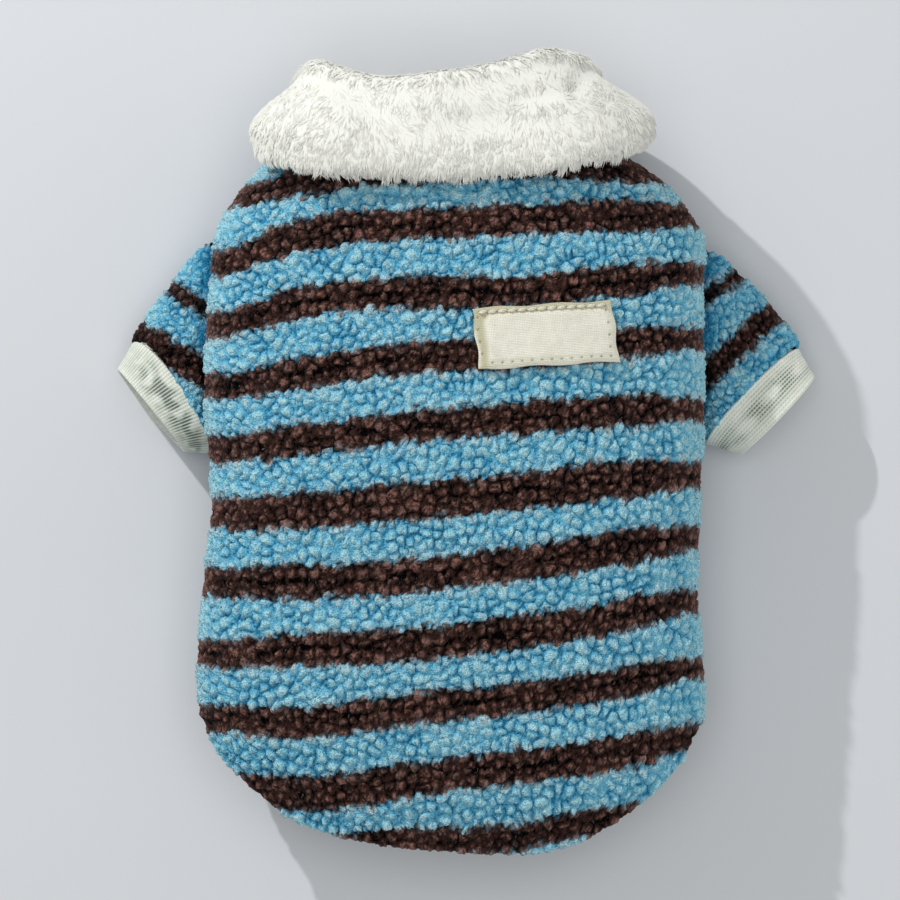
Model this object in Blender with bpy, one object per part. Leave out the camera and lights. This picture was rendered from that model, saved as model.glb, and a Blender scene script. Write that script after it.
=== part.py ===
"""Dog coat in striped sherpa fleece with a plush turn-down collar and ribbed cuffs.

The coat is filled out and hollow, and lies on its belly. Units are metres. +Z is up, +Y runs from the
hem to the neck, and +X is to the right of someone who looks down on the back with the neck at the top.
The tables below are in millimetres, and MM turns them into metres.

The body is one tube of cross-sections along Y. Its angle runs from 0 at the right side, over the top
at 90 degrees, to 180 at the left side and 270 at the middle of the belly. Each panel is a stretch of
that tube, given a thickness along its normals.
"""

import math

import bpy
import numpy as np

MM = 0.001
SEAM_GAP = 0.3  # room between pieces that are sewn together
SIDE_SEAM_INSET = 0.24  # how far each body panel stops short of the side seam
CUFF_SEAM_INSET = 0.68  # how far a cuff stops short of its sleeve, which it meets at a slant

# Thickness of each cloth with its pile pressed lightly, in millimetres.
FLEECE = 4.0
RIB = 2.6
PLUSH_STAND = 4.0
PLUSH_FALL = 8.0
LABEL_TAPE = 0.9

# Body tube: where it lies along Y, its left and right edges, and the heights of its lowest line, its
# widest line and its top.
BODY_COLUMNS = ("y", "left", "right", "bottom", "side", "top")
BODY_SECTIONS = (
    (112.0, -51.0, 39.5, 15.0, 37.0, 60.0),
    (104.0, -64.0, 54.5, 6.0, 35.5, 64.5),
    (96.0, -74.0, 67.0, 1.5, 34.5, 67.5),
    (88.0, -81.0, 75.0, 0.0, 34.0, 69.5),
    (78.0, -86.0, 81.5, 0.0, 34.0, 71.0),
    (52.0, -89.6, 82.6, 0.0, 34.0, 72.5),
    (18.0, -91.0, 83.3, 0.0, 34.0, 73.0),
    (-16.0, -88.6, 82.0, 0.0, 33.5, 71.5),
    (-50.0, -91.9, 81.2, 0.0, 33.0, 69.0),
    (-80.0, -93.6, 83.6, 0.0, 31.5, 65.0),
    (-100.0, -91.3, 83.0, 0.0, 30.0, 60.5),
    (-120.0, -84.5, 79.5, 0.0, 27.0, 54.0),
    (-141.0, -76.0, 74.0, 0.0, 23.0, 45.0),
)
NECK_Y = 112.0
TOP_ROUNDNESS = 2.35
BOTTOM_ROUNDNESS = 2.5
PRESSED_SHARE = 0.08  # how far the floor presses the belly in, as a share of its depth

# Shallow troughs in the back: middle, length, width, depth, and direction from +X.
FOLD_COLUMNS = ("x", "y", "length", "width", "depth", "degrees")
FOLDS = (
    (-62.0, 40.0, 60.0, 9.0, 1.6, 62.0),
    (60.0, 12.0, 66.0, 10.0, 1.8, 118.0),
    (-30.0, -46.0, 90.0, 12.0, 1.3, 8.0),
    (34.0, -84.0, 80.0, 11.0, 1.4, 14.0),
)

# Hem: how far across the back, from -1 at the left edge to 1 at the right, and where it lies along Y.
# Below the widest line it is drawn up under the belly, to BELLY_HEM_Y.
TAIL_COLUMNS = ("across", "y")
TAIL = (
    (-1.0, -91.9),
    (-0.952, -104.0),
    (-0.885, -112.6),
    (-0.80, -122.0),
    (-0.69, -128.2),
    (-0.50, -134.2),
    (-0.28, -137.1),
    (-0.05, -138.5),
    (0.17, -139.4),
    (0.42, -137.6),
    (0.62, -131.4),
    (0.717, -125.8),
    (0.803, -119.2),
    (0.905, -109.4),
    (0.952, -102.4),
    (1.0, -91.9),
)
BELLY_HEM_Y = -58.0
SIDE_SEAM = math.radians(27.0)  # the side seams are this far below the widest line
PANEL_ROWS = 25
BACK_COLUMNS = 33
BELLY_COLUMNS = 17
SHOULDER_ROWS = 0.28  # how much closer together a panel's rows lie over the shoulders, as a share

# Armholes: ellipses cut straight across the lower sides, between two distances from the middle.
ARMHOLE_Z = 19.0
ARMHOLE_HALF_HEIGHT = 12.0
ARMHOLE_NEAR = 55.0
ARMHOLE_FAR = 115.0
RING_POINTS = 28  # points round an armhole, a sleeve or a cuff

# Sleeves: the armhole along Y, then both ends of the cuff. Each end has its middle, the direction from
# there to the cuff's outer corner, half its width, and how far its top leans back to the body.
SLEEVE_COLUMNS = ("side", "sign", "hole_y", "hole_half")
SLEEVES = (("left", -1, 43.4, 33.4), ("right", 1, 41.8, 31.8))
CUFF_COLUMNS = ("side", "x", "y", "outward_x", "outward_y", "half_width", "lean")
CUFF_STARTS = (
    ("left", -103.1, 19.5, -0.56, 0.83, 23.2, 5.6),
    ("right", 100.4, 19.9, 0.70, 0.72, 23.1, 3.2),
)
CUFF_ENDS = (
    ("left", -109.7, 15.2, -0.63, 0.78, 18.8, 1.3),
    ("right", 108.5, 13.4, 0.69, 0.72, 19.3, -0.8),
)
CUFF_START_Z = 15.0
CUFF_END_Z = 13.4
CUFF_HALF_HEIGHT = 12.4
SLEEVE_PUFF = 2.4  # how far the sleeve stands out round its cuff
SLEEVE_SHIFT = 1.5  # how much more of that is on the side of the outer corner
SLEEVE_DIP = 3.0  # how far the sleeve sinks just outside the armhole seam
SLEEVE_WALL = 3.6
SLEEVE_TUCK = 3.2  # how far the sleeve reaches into the armhole
SLEEVE_LEAST_WAY_OUT = 3.5  # how far it first runs straight out from the armhole, at the least
SLEEVE_WAY_OUT = 0.16  # the same as a share of its length there
SLEEVE_WAY_ON = 0.25  # how long it runs in the cuff's direction, as a share of its length
SLEEVE_RINGS = 6
CUFF_RINGS = 3

# Collar: the angle round the neck, the fold and the outer edge along Y, and the extra reach at the edge.
COLLAR_COLUMNS = ("degrees", "fold_y", "edge_y", "flare")
COLLAR_SECTIONS = (
    (-84.0, 125.0, 110.0, 0.0),
    (-45.0, 129.0, 111.0, 2.0),
    (0.0, 133.5, 107.5, 3.5),
    (30.0, 138.0, 101.0, 6.5),
    (50.0, 138.5, 96.0, 4.0),
    (70.0, 134.5, 93.5, 1.0),
    (90.0, 131.0, 92.0, 0.0),
    (115.0, 129.0, 92.8, 1.0),
    (140.0, 133.0, 95.0, 4.0),
    (160.0, 135.5, 99.5, 3.5),
    (180.0, 132.0, 106.0, 0.8),
    (225.0, 129.0, 111.0, 1.5),
    (264.0, 125.0, 110.0, 0.0),
)
COLLAR_RINGS = 44
FOLD_DEPTH = 6.0  # length along Y of the round of the fold
STEP_OUT = 1.0  # how far outside the neck seam the falling side starts
STEP_DEPTH = 2.0  # how far below the fold that happens
EDGE_DEPTH = 4.0  # length along Y of the round of the edge
EDGE_CHAMFER = 1.5
FALL_CROWN = 1.0  # how far the middle of the falling side bulges out
COLLAR_CLEARANCE = 0.8  # room between the falling side and the shoulders under it

# Label patch on the back: its middle, size and turn.
LABEL_CENTRE = (27.4, 40.0)
LABEL_SIZE = (47.0, 21.5)
LABEL_TURN = math.radians(3.6)
LABEL_LIFT = 0.4  # room between the tape and the fleece
LABEL_ROWS = 6
LABEL_POINTS = 11

# Colour, roughness of each cloth.
FINISHES = {
    "striped_fleece": ((0.17, 0.42, 0.60, 1.0), 0.95),
    "white_plush": ((0.80, 0.80, 0.74, 1.0), 0.95),
    "cream_rib": ((0.68, 0.71, 0.64, 1.0), 0.85),
    "label_tape": ((0.66, 0.63, 0.50, 1.0), 0.75),
}


def column(rows, columns, name):
    """One named column of a table."""
    return np.array([row[columns.index(name)] for row in rows], float)


def smooth(at, keys, values):
    """Values of a smooth curve through the table's points. Keys may run up or down."""
    if keys[0] > keys[-1]:
        keys, values = keys[::-1], values[::-1]
    at = np.clip(np.asarray(at, float), keys[0], keys[-1])
    slopes = np.gradient(values, keys)
    i = np.clip(np.searchsorted(keys, at) - 1, 0, len(keys) - 2)
    span = keys[i + 1] - keys[i]
    s = (at - keys[i]) / span
    return (
        (1 + 2 * s) * (1 - s) ** 2 * values[i]
        + s * (1 - s) ** 2 * span * slopes[i]
        + s * s * (3 - 2 * s) * values[i + 1]
        + s * s * (s - 1) * span * slopes[i + 1]
    )


def body_size(name, y):
    size = smooth(y, column(BODY_SECTIONS, BODY_COLUMNS, "y"), column(BODY_SECTIONS, BODY_COLUMNS, name))
    return np.maximum(size, 0) if name == "bottom" else size


def rounded(value, roundness):
    """Sine or cosine bent so that the section is fuller than an ellipse."""
    return np.sign(value) * np.abs(value) ** (2 / roundness)


def fold_depth(x, y):
    """How deep the troughs are at a place on the back."""
    total = np.zeros(np.broadcast(x, y).shape)
    for row in FOLDS:
        fold = dict(zip(FOLD_COLUMNS, row))
        turn = math.radians(fold["degrees"])
        along = (x - fold["x"]) * math.cos(turn) + (y - fold["y"]) * math.sin(turn)
        across = (y - fold["y"]) * math.cos(turn) - (x - fold["x"]) * math.sin(turn)
        total += fold["depth"] * np.exp(
            -((2 * along / fold["length"]) ** 4) - (across / fold["width"]) ** 2
        )
    return total


def body_point(y, angle):
    """Points of the body's outer surface, in millimetres."""
    y, angle = np.broadcast_arrays(np.asarray(y, float), np.asarray(angle, float))
    left, right = body_size("left", y), body_size("right", y)
    bottom, side, top = (body_size(name, y) for name in ("bottom", "side", "top"))
    up = np.sin(angle) >= 0
    roundness = np.where(up, TOP_ROUNDNESS, BOTTOM_ROUNDNESS)
    x = (left + right) / 2 + (right - left) / 2 * rounded(np.cos(angle), roundness)
    height = rounded(np.sin(angle), roundness)
    over = side + (top - side) * height - fold_depth(x, y) * np.clip(height, 0, 1)
    under = np.maximum(side + (side - bottom) * (1 + PRESSED_SHARE) * height, bottom)
    return np.stack([x, y, np.where(up, over, under)], axis=-1)


def body_normal(y, angle):
    """Outward unit normals of the body's outer surface."""
    step_y, step_angle = 0.05, 0.0005
    along = body_point(y + step_y, angle) - body_point(y - step_y, angle)
    around = body_point(y, angle + step_angle) - body_point(y, angle - step_angle)
    normal = np.cross(around, along)
    return -normal / np.linalg.norm(normal, axis=-1, keepdims=True)


def back_height(x, y):
    """Height of the back above a place in plan."""
    left, right = body_size("left", y), body_size("right", y)
    share = np.clip(np.abs(2 * x - left - right) / (right - left), 0, 1)
    height = (1 - share**TOP_ROUNDNESS) ** (1 / TOP_ROUNDNESS)
    side, top = body_size("side", y), body_size("top", y)
    return side + (top - side) * height - fold_depth(x, y) * height


def side_reach(side, y, z):
    """X of the body's lower side at a height below the widest line."""
    left, right = body_size("left", y), body_size("right", y)
    level, bottom = body_size("side", y), body_size("bottom", y)
    depth = np.clip((level - z) / ((level - bottom) * (1 + PRESSED_SHARE)), 0, 1)
    share = (1 - depth**BOTTOM_ROUNDNESS) ** (1 / BOTTOM_ROUNDNESS)
    return (left + right) / 2 + side * (right - left) / 2 * share


def hem_y(angle):
    """Where the hem lies along Y: a round tail over the back, drawn up under the belly."""
    across = rounded(np.cos(angle), TOP_ROUNDNESS)
    tail = smooth(across, column(TAIL, TAIL_COLUMNS, "across"), column(TAIL, TAIL_COLUMNS, "y"))
    below = np.clip(-np.sin(angle), 0, 1)
    side = TAIL[0][1]
    under = side + (BELLY_HEM_Y - side) * below * below * (3 - 2 * below)
    return np.where(np.sin(angle) >= 0, tail, under)


def even_angles(first, last, count):
    """Angles whose points are evenly spaced round the middle of the body."""
    fine = np.linspace(first, last, 4000)
    points = body_point(0.0, fine)
    length = np.concatenate([[0], np.cumsum(np.linalg.norm(np.diff(points, axis=0), axis=1))])
    return np.interp(np.linspace(0, length[-1], count), length, fine)


def add_object(name, points, faces, finish):
    """A smooth-shaded mesh object from points in millimetres."""
    mesh = bpy.data.meshes.new(name)
    mesh.from_pydata((np.asarray(points) * MM).tolist(), [], faces)
    mesh.shade_smooth()
    mesh.set_sharp_from_angle(angle=math.radians(50))
    obj = bpy.data.objects.new(name, mesh)
    obj.data.materials.append(finish)
    bpy.context.scene.collection.objects.link(obj)
    return obj


def add_shell(name, outer, inner, finish, closed=False):
    """A cloth wall between two grids of points. A closed grid joins its last column to its first."""
    rows, columns = outer.shape[:2]
    points = np.concatenate([outer.reshape(-1, 3), inner.reshape(-1, 3)])
    inside = rows * columns
    faces = []
    for i in range(rows - 1):
        for j in range(columns if closed else columns - 1):
            a, b = i * columns + j, i * columns + (j + 1) % columns
            c, d = b + columns, a + columns
            faces.append((a, b, c, d))
            faces.append((inside + d, inside + c, inside + b, inside + a))
    for j in range(columns if closed else columns - 1):
        a, b = j, (j + 1) % columns
        faces.append((b, a, inside + a, inside + b))
        a, b = (rows - 1) * columns + a, (rows - 1) * columns + b
        faces.append((a, b, inside + b, inside + a))
    for i in range(0 if closed else rows - 1):
        a, b = i * columns, (i + 1) * columns
        faces.append((a, b, inside + b, inside + a))
        a, b = a + columns - 1, b + columns - 1
        faces.append((b, a, inside + a, inside + b))
    return add_object(name, points, faces, finish)


def add_body_panel(name, first, last, rows, columns, finish):
    """A stretch of the body tube between two angles, from the neck to the hem."""
    angles = even_angles(first, last, columns)
    share = np.linspace(0, 1, rows)
    share = share * (1 - SHOULDER_ROWS + SHOULDER_ROWS * share)
    y = NECK_Y + share[:, None] * (hem_y(angles)[None, :] - NECK_Y)
    turn = 0.001
    near_seam = body_point(y[:, :1], first + turn) - body_point(y[:, :1], first)
    step = SIDE_SEAM_INSET * turn / np.linalg.norm(near_seam, axis=-1)
    angles = first + step + (angles - first) * (last - first - 2 * step) / (last - first)
    outer = body_point(y, angles)
    inner = outer - FLEECE * body_normal(y, angles)
    return add_shell(name, outer, inner, finish)


def armhole_cutter(side, middle, half):
    """An elliptical bar across one side of the body, where the sleeve goes in."""
    count = RING_POINTS
    turn = np.arange(count) * 2 * math.pi / count
    ring = np.stack([middle + half * np.cos(turn), ARMHOLE_Z + ARMHOLE_HALF_HEIGHT * np.sin(turn)], axis=1)
    points = [(x * side, y, z) for x in (ARMHOLE_NEAR, ARMHOLE_FAR) for y, z in ring]
    faces = [(j, (j + 1) % count, count + (j + 1) % count, count + j) for j in range(count)]
    faces += [tuple(range(count))[::-1], tuple(range(count, 2 * count))]
    if side < 0:
        faces = [face[::-1] for face in faces]
    cutter = add_object("armhole_guide", points, faces, None)
    cutter.hide_render = True
    cutter.display_type = "WIRE"
    return cutter


def cut(panel, cutter):
    hole = panel.modifiers.new("armhole", "BOOLEAN")
    hole.operation = "DIFFERENCE"
    hole.solver = "EXACT"
    hole.object = cutter


def cuff_end(ends, row):
    """The row of one end of the cuff of a sleeve."""
    return next(dict(zip(CUFF_COLUMNS, end)) for end in ends if end[0] == row["side"])


def cuff_ring(end, height, extra, turn):
    """A ring of points across a cuff. Its top leans back to the body and its bottom the other way."""
    outward = np.array([end["outward_x"], end["outward_y"]])
    outward = outward / np.linalg.norm(outward)
    back = np.array([-math.copysign(outward[1], end["x"]), abs(outward[0])])
    across = (end["half_width"] + extra) * np.cos(turn)
    lean = end["lean"] * np.sin(turn)
    return np.stack(
        [
            end["x"] + outward[0] * across + back[0] * lean,
            end["y"] + outward[1] * across + back[1] * lean,
            height + (CUFF_HALF_HEIGHT + extra) * np.sin(turn),
        ],
        axis=-1,
    )


def sleeve_surface(row, inset, rows, turn):
    """The sleeve's outer surface, or the surface that lies inset inside it."""
    side = row["sign"]
    root_y = row["hole_y"] + (row["hole_half"] - SEAM_GAP - inset) * np.cos(turn)
    root_z = ARMHOLE_Z + (ARMHOLE_HALF_HEIGHT - SEAM_GAP - inset) * np.sin(turn)
    root = np.stack([side_reach(side, root_y, root_z), root_y, root_z], axis=-1)
    tucked = root - np.array([side * SLEEVE_TUCK, 0, 0])
    start, finish = cuff_end(CUFF_STARTS, row), cuff_end(CUFF_ENDS, row)
    end = cuff_ring(start, CUFF_START_Z, SLEEVE_PUFF - inset, turn)
    end[:, 0] += start["outward_x"] * SLEEVE_SHIFT
    end[:, 1] += start["outward_y"] * SLEEVE_SHIFT
    way = np.array([finish["x"] - start["x"], finish["y"] - start["y"], 0])
    way /= np.linalg.norm(way)
    reach = np.linalg.norm(end - root, axis=-1, keepdims=True)
    dip = np.clip(np.sin(turn), 0, 1)[:, None] * np.array([0, 0, -SLEEVE_DIP])
    way_out = np.maximum(reach * SLEEVE_WAY_OUT, SLEEVE_LEAST_WAY_OUT)
    after_root = root + way_out * np.array([side, 0, 0]) + dip
    before_end = end - reach * SLEEVE_WAY_ON * way
    bulge = np.array([start["outward_x"], start["outward_y"], 0]) * SLEEVE_SHIFT
    rings = [tucked]
    for s in np.linspace(0, 1, rows):
        rings.append(
            (1 - s) ** 3 * root
            + 3 * s * (1 - s) ** 2 * after_root
            + 3 * s * s * (1 - s) * before_end
            + s**3 * end
            + math.sin(math.pi * s) * bulge
        )
    return np.stack(rings)


def cuff_surface(row, inset, rows, turn):
    """The cuff's outer surface, or the surface that lies inset inside it."""
    start = cuff_ring(cuff_end(CUFF_STARTS, row), CUFF_START_Z, -inset, turn)
    end = cuff_ring(cuff_end(CUFF_ENDS, row), CUFF_END_Z, -inset, turn)
    way = (end - start).mean(axis=0)
    start = start + CUFF_SEAM_INSET * way / np.linalg.norm(way)
    return np.stack([start + (end - start) * share for share in np.linspace(0, 1, rows)])


def add_sleeves(fleece, rib):
    turn = np.arange(RING_POINTS) * 2 * math.pi / RING_POINTS
    for values in SLEEVES:
        row = dict(zip(SLEEVE_COLUMNS, values))
        facing = turn * row["sign"]
        outer = sleeve_surface(row, 0.0, SLEEVE_RINGS, facing)
        inner = sleeve_surface(row, SLEEVE_WALL, SLEEVE_RINGS, facing)
        add_shell(f"sleeve_{row['side']}", outer, inner, fleece, closed=True)
        outer = cuff_surface(row, 0.0, CUFF_RINGS, facing)
        inner = cuff_surface(row, RIB, CUFF_RINGS, facing)
        add_shell(f"cuff_{row['side']}", outer, inner, rib, closed=True)


def collar_size(name, degrees):
    keys = column(COLLAR_SECTIONS, COLLAR_COLUMNS, "degrees")
    return smooth(degrees, keys, column(COLLAR_SECTIONS, COLLAR_COLUMNS, name))


def collar_section(angle):
    """The folded band at one angle round the neck, as (distance out from the neck seam, Y) pairs."""
    degrees = math.degrees(angle)
    fold, edge, flare = (float(collar_size(name, degrees)) for name in COLLAR_COLUMNS[1:])
    seam = NECK_Y + SEAM_GAP
    out = neck_normal(angle)
    reach = np.linspace(edge, NECK_Y, 12)
    body = (body_point(reach, angle) - body_point(NECK_Y, angle)) @ out
    inner = max(float(body.max()) + COLLAR_CLEARANCE, STEP_OUT) + flare
    outer = inner + PLUSH_FALL
    top = STEP_OUT + PLUSH_FALL
    middle = (top - PLUSH_STAND) / 2
    half = (top + PLUSH_STAND) / 2
    low, high = edge + EDGE_DEPTH, fold - FOLD_DEPTH
    points = [(-PLUSH_STAND, seam), (-PLUSH_STAND, high)]
    for turn in (math.radians(degrees) for degrees in (150, 120, 90, 60, 30)):
        points.append((middle + half * math.cos(turn), high + FOLD_DEPTH * math.sin(turn)))
    points += [(top, high), ((top + outer) / 2 + FALL_CROWN, (high + low) / 2), (outer, low)]
    points += [(outer - EDGE_CHAMFER, edge + 1), (inner + EDGE_DEPTH, edge), (inner + EDGE_CHAMFER, edge + 1)]
    points += [(inner, low), ((STEP_OUT + inner) / 2 + FALL_CROWN, (high + low) / 2 - 1)]
    points += [(STEP_OUT, high - STEP_DEPTH), (0, high - STEP_DEPTH), (0, seam)]
    return points


def neck_normal(angle):
    """Outward direction of the neck seam, in the plane of the neck."""
    step = 0.002
    around = body_point(NECK_Y, angle + step) - body_point(NECK_Y, angle - step)
    normal = np.array([around[2], 0.0, -around[0]])
    return normal / np.linalg.norm(normal)


def add_collar(plush):
    """A folded plush band round the neck, open at the throat."""
    first, last = (math.radians(COLLAR_SECTIONS[k][0]) for k in (0, -1))
    fine = np.linspace(first, last, 4000)
    line = body_point(NECK_Y, fine)
    length = np.concatenate([[0], np.cumsum(np.linalg.norm(np.diff(line, axis=0), axis=1))])
    angles = np.interp(np.linspace(0, length[-1], COLLAR_RINGS), length, fine)
    rings = []
    for angle in angles:
        seam, out = body_point(NECK_Y, angle), neck_normal(angle)
        rings.append([(seam[0] + n * out[0], y, seam[2] + n * out[2]) for n, y in collar_section(angle)])
    count = len(rings[0])
    faces = []
    for i in range(len(rings) - 1):
        for j in range(count):
            a, b = i * count + j, i * count + (j + 1) % count
            faces.append((b, a, a + count, b + count))
    last_ring = (len(rings) - 1) * count
    faces.append(tuple(range(count)))
    faces.append(tuple(range(last_ring, last_ring + count))[::-1])
    return add_object("collar", [point for ring in rings for point in ring], faces, plush)


def add_label(tape):
    """A tape patch that follows the back."""
    across = np.linspace(-0.5, 0.5, LABEL_POINTS)[None, :] * LABEL_SIZE[0]
    down = np.linspace(0.5, -0.5, LABEL_ROWS)[:, None] * LABEL_SIZE[1]
    x = LABEL_CENTRE[0] + across * math.cos(LABEL_TURN) - down * math.sin(LABEL_TURN)
    y = LABEL_CENTRE[1] + across * math.sin(LABEL_TURN) + down * math.cos(LABEL_TURN)
    base = np.stack([x, y, back_height(x, y)], axis=-1)
    step = 0.1
    slope_x = (back_height(x + step, y) - back_height(x - step, y)) / (2 * step)
    slope_y = (back_height(x, y + step) - back_height(x, y - step)) / (2 * step)
    normal = np.stack([-slope_x, -slope_y, np.ones_like(x)], axis=-1)
    normal /= np.linalg.norm(normal, axis=-1, keepdims=True)
    outer = base + (LABEL_LIFT + LABEL_TAPE) * normal
    inner = base + LABEL_LIFT * normal
    return add_shell("label_patch", outer[:, ::-1], inner[:, ::-1], tape)


def make_finish(name):
    colour, roughness = FINISHES[name]
    material = bpy.data.materials.new(name)
    material.use_nodes = True
    shader = material.node_tree.nodes["Principled BSDF"]
    shader.inputs["Base Color"].default_value = colour
    shader.inputs["Roughness"].default_value = roughness
    shader.inputs["Metallic"].default_value = 0.0
    return material


def main():
    for obj in list(bpy.data.objects):
        bpy.data.objects.remove(obj)
    fleece, plush, rib, tape = (make_finish(name) for name in FINISHES)
    right, left = 2 * math.pi - SIDE_SEAM, math.pi + SIDE_SEAM
    back = add_body_panel("back_panel", right - 2 * math.pi, left, PANEL_ROWS, BACK_COLUMNS, fleece)
    belly = add_body_panel("belly_panel", left, right, PANEL_ROWS, BELLY_COLUMNS, fleece)
    for values in SLEEVES:
        cutter = armhole_cutter(values[1], values[2], values[3])
        cut(back, cutter)
        cut(belly, cutter)
    add_sleeves(fleece, rib)
    add_collar(plush)
    add_label(tape)


main()
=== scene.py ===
"""Looks of the striped fleece dog coat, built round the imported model.

The tables and formulas of the garment's form are in millimetres, in the frame's own axes: +Z up, +Y from
the hem to the neck, +X to the dog's right. MM turns them into metres where a mesh is made.
"""

import math
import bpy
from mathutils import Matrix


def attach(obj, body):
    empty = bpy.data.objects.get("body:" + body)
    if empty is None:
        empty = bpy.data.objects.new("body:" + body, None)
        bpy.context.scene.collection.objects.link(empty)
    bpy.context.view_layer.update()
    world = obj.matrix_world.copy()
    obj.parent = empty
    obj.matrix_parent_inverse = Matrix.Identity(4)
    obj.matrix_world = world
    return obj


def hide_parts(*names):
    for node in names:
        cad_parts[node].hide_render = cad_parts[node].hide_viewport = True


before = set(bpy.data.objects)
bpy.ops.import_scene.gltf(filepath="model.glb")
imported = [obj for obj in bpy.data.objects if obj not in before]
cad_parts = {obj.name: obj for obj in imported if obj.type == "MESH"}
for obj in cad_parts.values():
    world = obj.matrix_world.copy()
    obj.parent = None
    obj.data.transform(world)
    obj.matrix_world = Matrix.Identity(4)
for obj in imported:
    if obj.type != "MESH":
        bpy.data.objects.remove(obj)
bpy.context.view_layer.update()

import bpy
import numpy as np
from mathutils import Vector, noise
from mathutils.kdtree import KDTree

MM = 0.001
SEED = 11
random = np.random.default_rng(SEED)
noise.seed_set(SEED)

# ---------------------------------------------------------------- the garment's form, as in the solids

FLEECE = 4.0  # wall with its pile pressed lightly
BODY_COLUMNS = ("y", "left", "right", "bottom", "side", "top")
BODY_SECTIONS = (
    (112.0, -51.0, 39.5, 15.0, 37.0, 60.0),
    (104.0, -64.0, 54.5, 6.0, 35.5, 64.5),
    (96.0, -74.0, 67.0, 1.5, 34.5, 67.5),
    (88.0, -81.0, 75.0, 0.0, 34.0, 69.5),
    (78.0, -86.0, 81.5, 0.0, 34.0, 71.0),
    (52.0, -89.6, 82.6, 0.0, 34.0, 72.5),
    (18.0, -91.0, 83.3, 0.0, 34.0, 73.0),
    (-16.0, -88.6, 82.0, 0.0, 33.5, 71.5),
    (-50.0, -91.9, 81.2, 0.0, 33.0, 69.0),
    (-80.0, -93.6, 83.6, 0.0, 31.5, 65.0),
    (-100.0, -91.3, 83.0, 0.0, 30.0, 60.5),
    (-120.0, -84.5, 79.5, 0.0, 27.0, 54.0),
    (-141.0, -76.0, 74.0, 0.0, 23.0, 45.0),
)
NECK_Y = 112.0
TOP_ROUNDNESS = 2.35
BOTTOM_ROUNDNESS = 2.5
PRESSED_SHARE = 0.08

FOLD_COLUMNS = ("x", "y", "length", "width", "depth", "degrees")
FOLDS = (
    (-62.0, 40.0, 60.0, 9.0, 1.6, 62.0),
    (60.0, 12.0, 66.0, 10.0, 1.8, 118.0),
    (-30.0, -46.0, 90.0, 12.0, 1.3, 8.0),
    (34.0, -84.0, 80.0, 11.0, 1.4, 14.0),
)

TAIL_COLUMNS = ("across", "y")
TAIL = (
    (-1.0, -91.9),
    (-0.952, -104.0),
    (-0.885, -112.6),
    (-0.80, -122.0),
    (-0.69, -128.2),
    (-0.50, -134.2),
    (-0.28, -137.1),
    (-0.05, -138.5),
    (0.17, -139.4),
    (0.42, -137.6),
    (0.62, -131.4),
    (0.717, -125.8),
    (0.803, -119.2),
    (0.905, -109.4),
    (0.952, -102.4),
    (1.0, -91.9),
)
BELLY_HEM_Y = -58.0
SIDE_SEAM = math.radians(27.0)

ARMHOLE_Z = 19.0
ARMHOLE_HALF_HEIGHT = 12.0
SLEEVE_COLUMNS = ("side", "sign", "hole_y", "hole_half")
SLEEVES = (("left", -1, 43.4, 33.4), ("right", 1, 41.8, 31.8))
CUFF_COLUMNS = ("side", "x", "y", "outward_x", "outward_y", "half_width", "lean")
CUFF_STARTS = (
    ("left", -103.1, 19.5, -0.56, 0.83, 23.2, 5.6),
    ("right", 100.4, 19.9, 0.70, 0.72, 23.1, 3.2),
)
CUFF_ENDS = (
    ("left", -109.7, 15.2, -0.63, 0.78, 18.8, 1.3),
    ("right", 108.5, 13.4, 0.69, 0.72, 19.3, -0.8),
)
CUFF_START_Z = 15.0
CUFF_END_Z = 13.4
CUFF_HALF_HEIGHT = 12.4
SLEEVE_PUFF = 2.4
SLEEVE_SHIFT = 1.5
SLEEVE_WAY_OUT = 0.16
SLEEVE_WAY_IN = 0.25
SLEEVE_DIP = 3.0
TUBE_HALF_WIDTH = 20.0

COLLAR_COLUMNS = ("degrees", "fold_y", "edge_y", "flare")
COLLAR_SECTIONS = (
    (-84.0, 125.0, 110.0, 0.0),
    (-45.0, 129.0, 111.0, 2.0),
    (0.0, 133.5, 107.5, 3.5),
    (30.0, 138.0, 101.0, 6.5),
    (50.0, 138.5, 96.0, 4.0),
    (70.0, 134.5, 93.5, 1.0),
    (90.0, 131.0, 92.0, 0.0),
    (115.0, 129.0, 92.8, 1.0),
    (140.0, 133.0, 95.0, 4.0),
    (160.0, 135.5, 99.5, 3.5),
    (180.0, 132.0, 106.0, 0.8),
    (225.0, 129.0, 111.0, 1.5),
    (264.0, 125.0, 110.0, 0.0),
)
PLUSH_STAND = 4.0
PLUSH_FALL = 8.0
FOLD_DEPTH = 6.0
FALL_CROWN = 1.0
COLLAR_CLEARANCE = 0.8

LABEL_CENTRE = (27.4, 40.0)
LABEL_SIZE = (47.0, 21.5)
HALF_U, HALF_V = LABEL_SIZE[0] / 2, LABEL_SIZE[1] / 2
LABEL_TURN = math.radians(3.6)
LABEL_LIFT = 0.4
LABEL_WALL = 0.5
LABEL_SEAM_SHADE = (0.52, 0.49, 0.30)  # olive painted shade along the seams
# Painted shade in the needle holes.
LABEL_HOLE = (0.16, 0.145, 0.08)
LABEL_SHEAR = 0.058  # how far its top is pulled to the left, and how much it is drawn in by its seams
LABEL_DRAW = 0.962

# ---------------------------------------------------------------- the cloths

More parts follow.
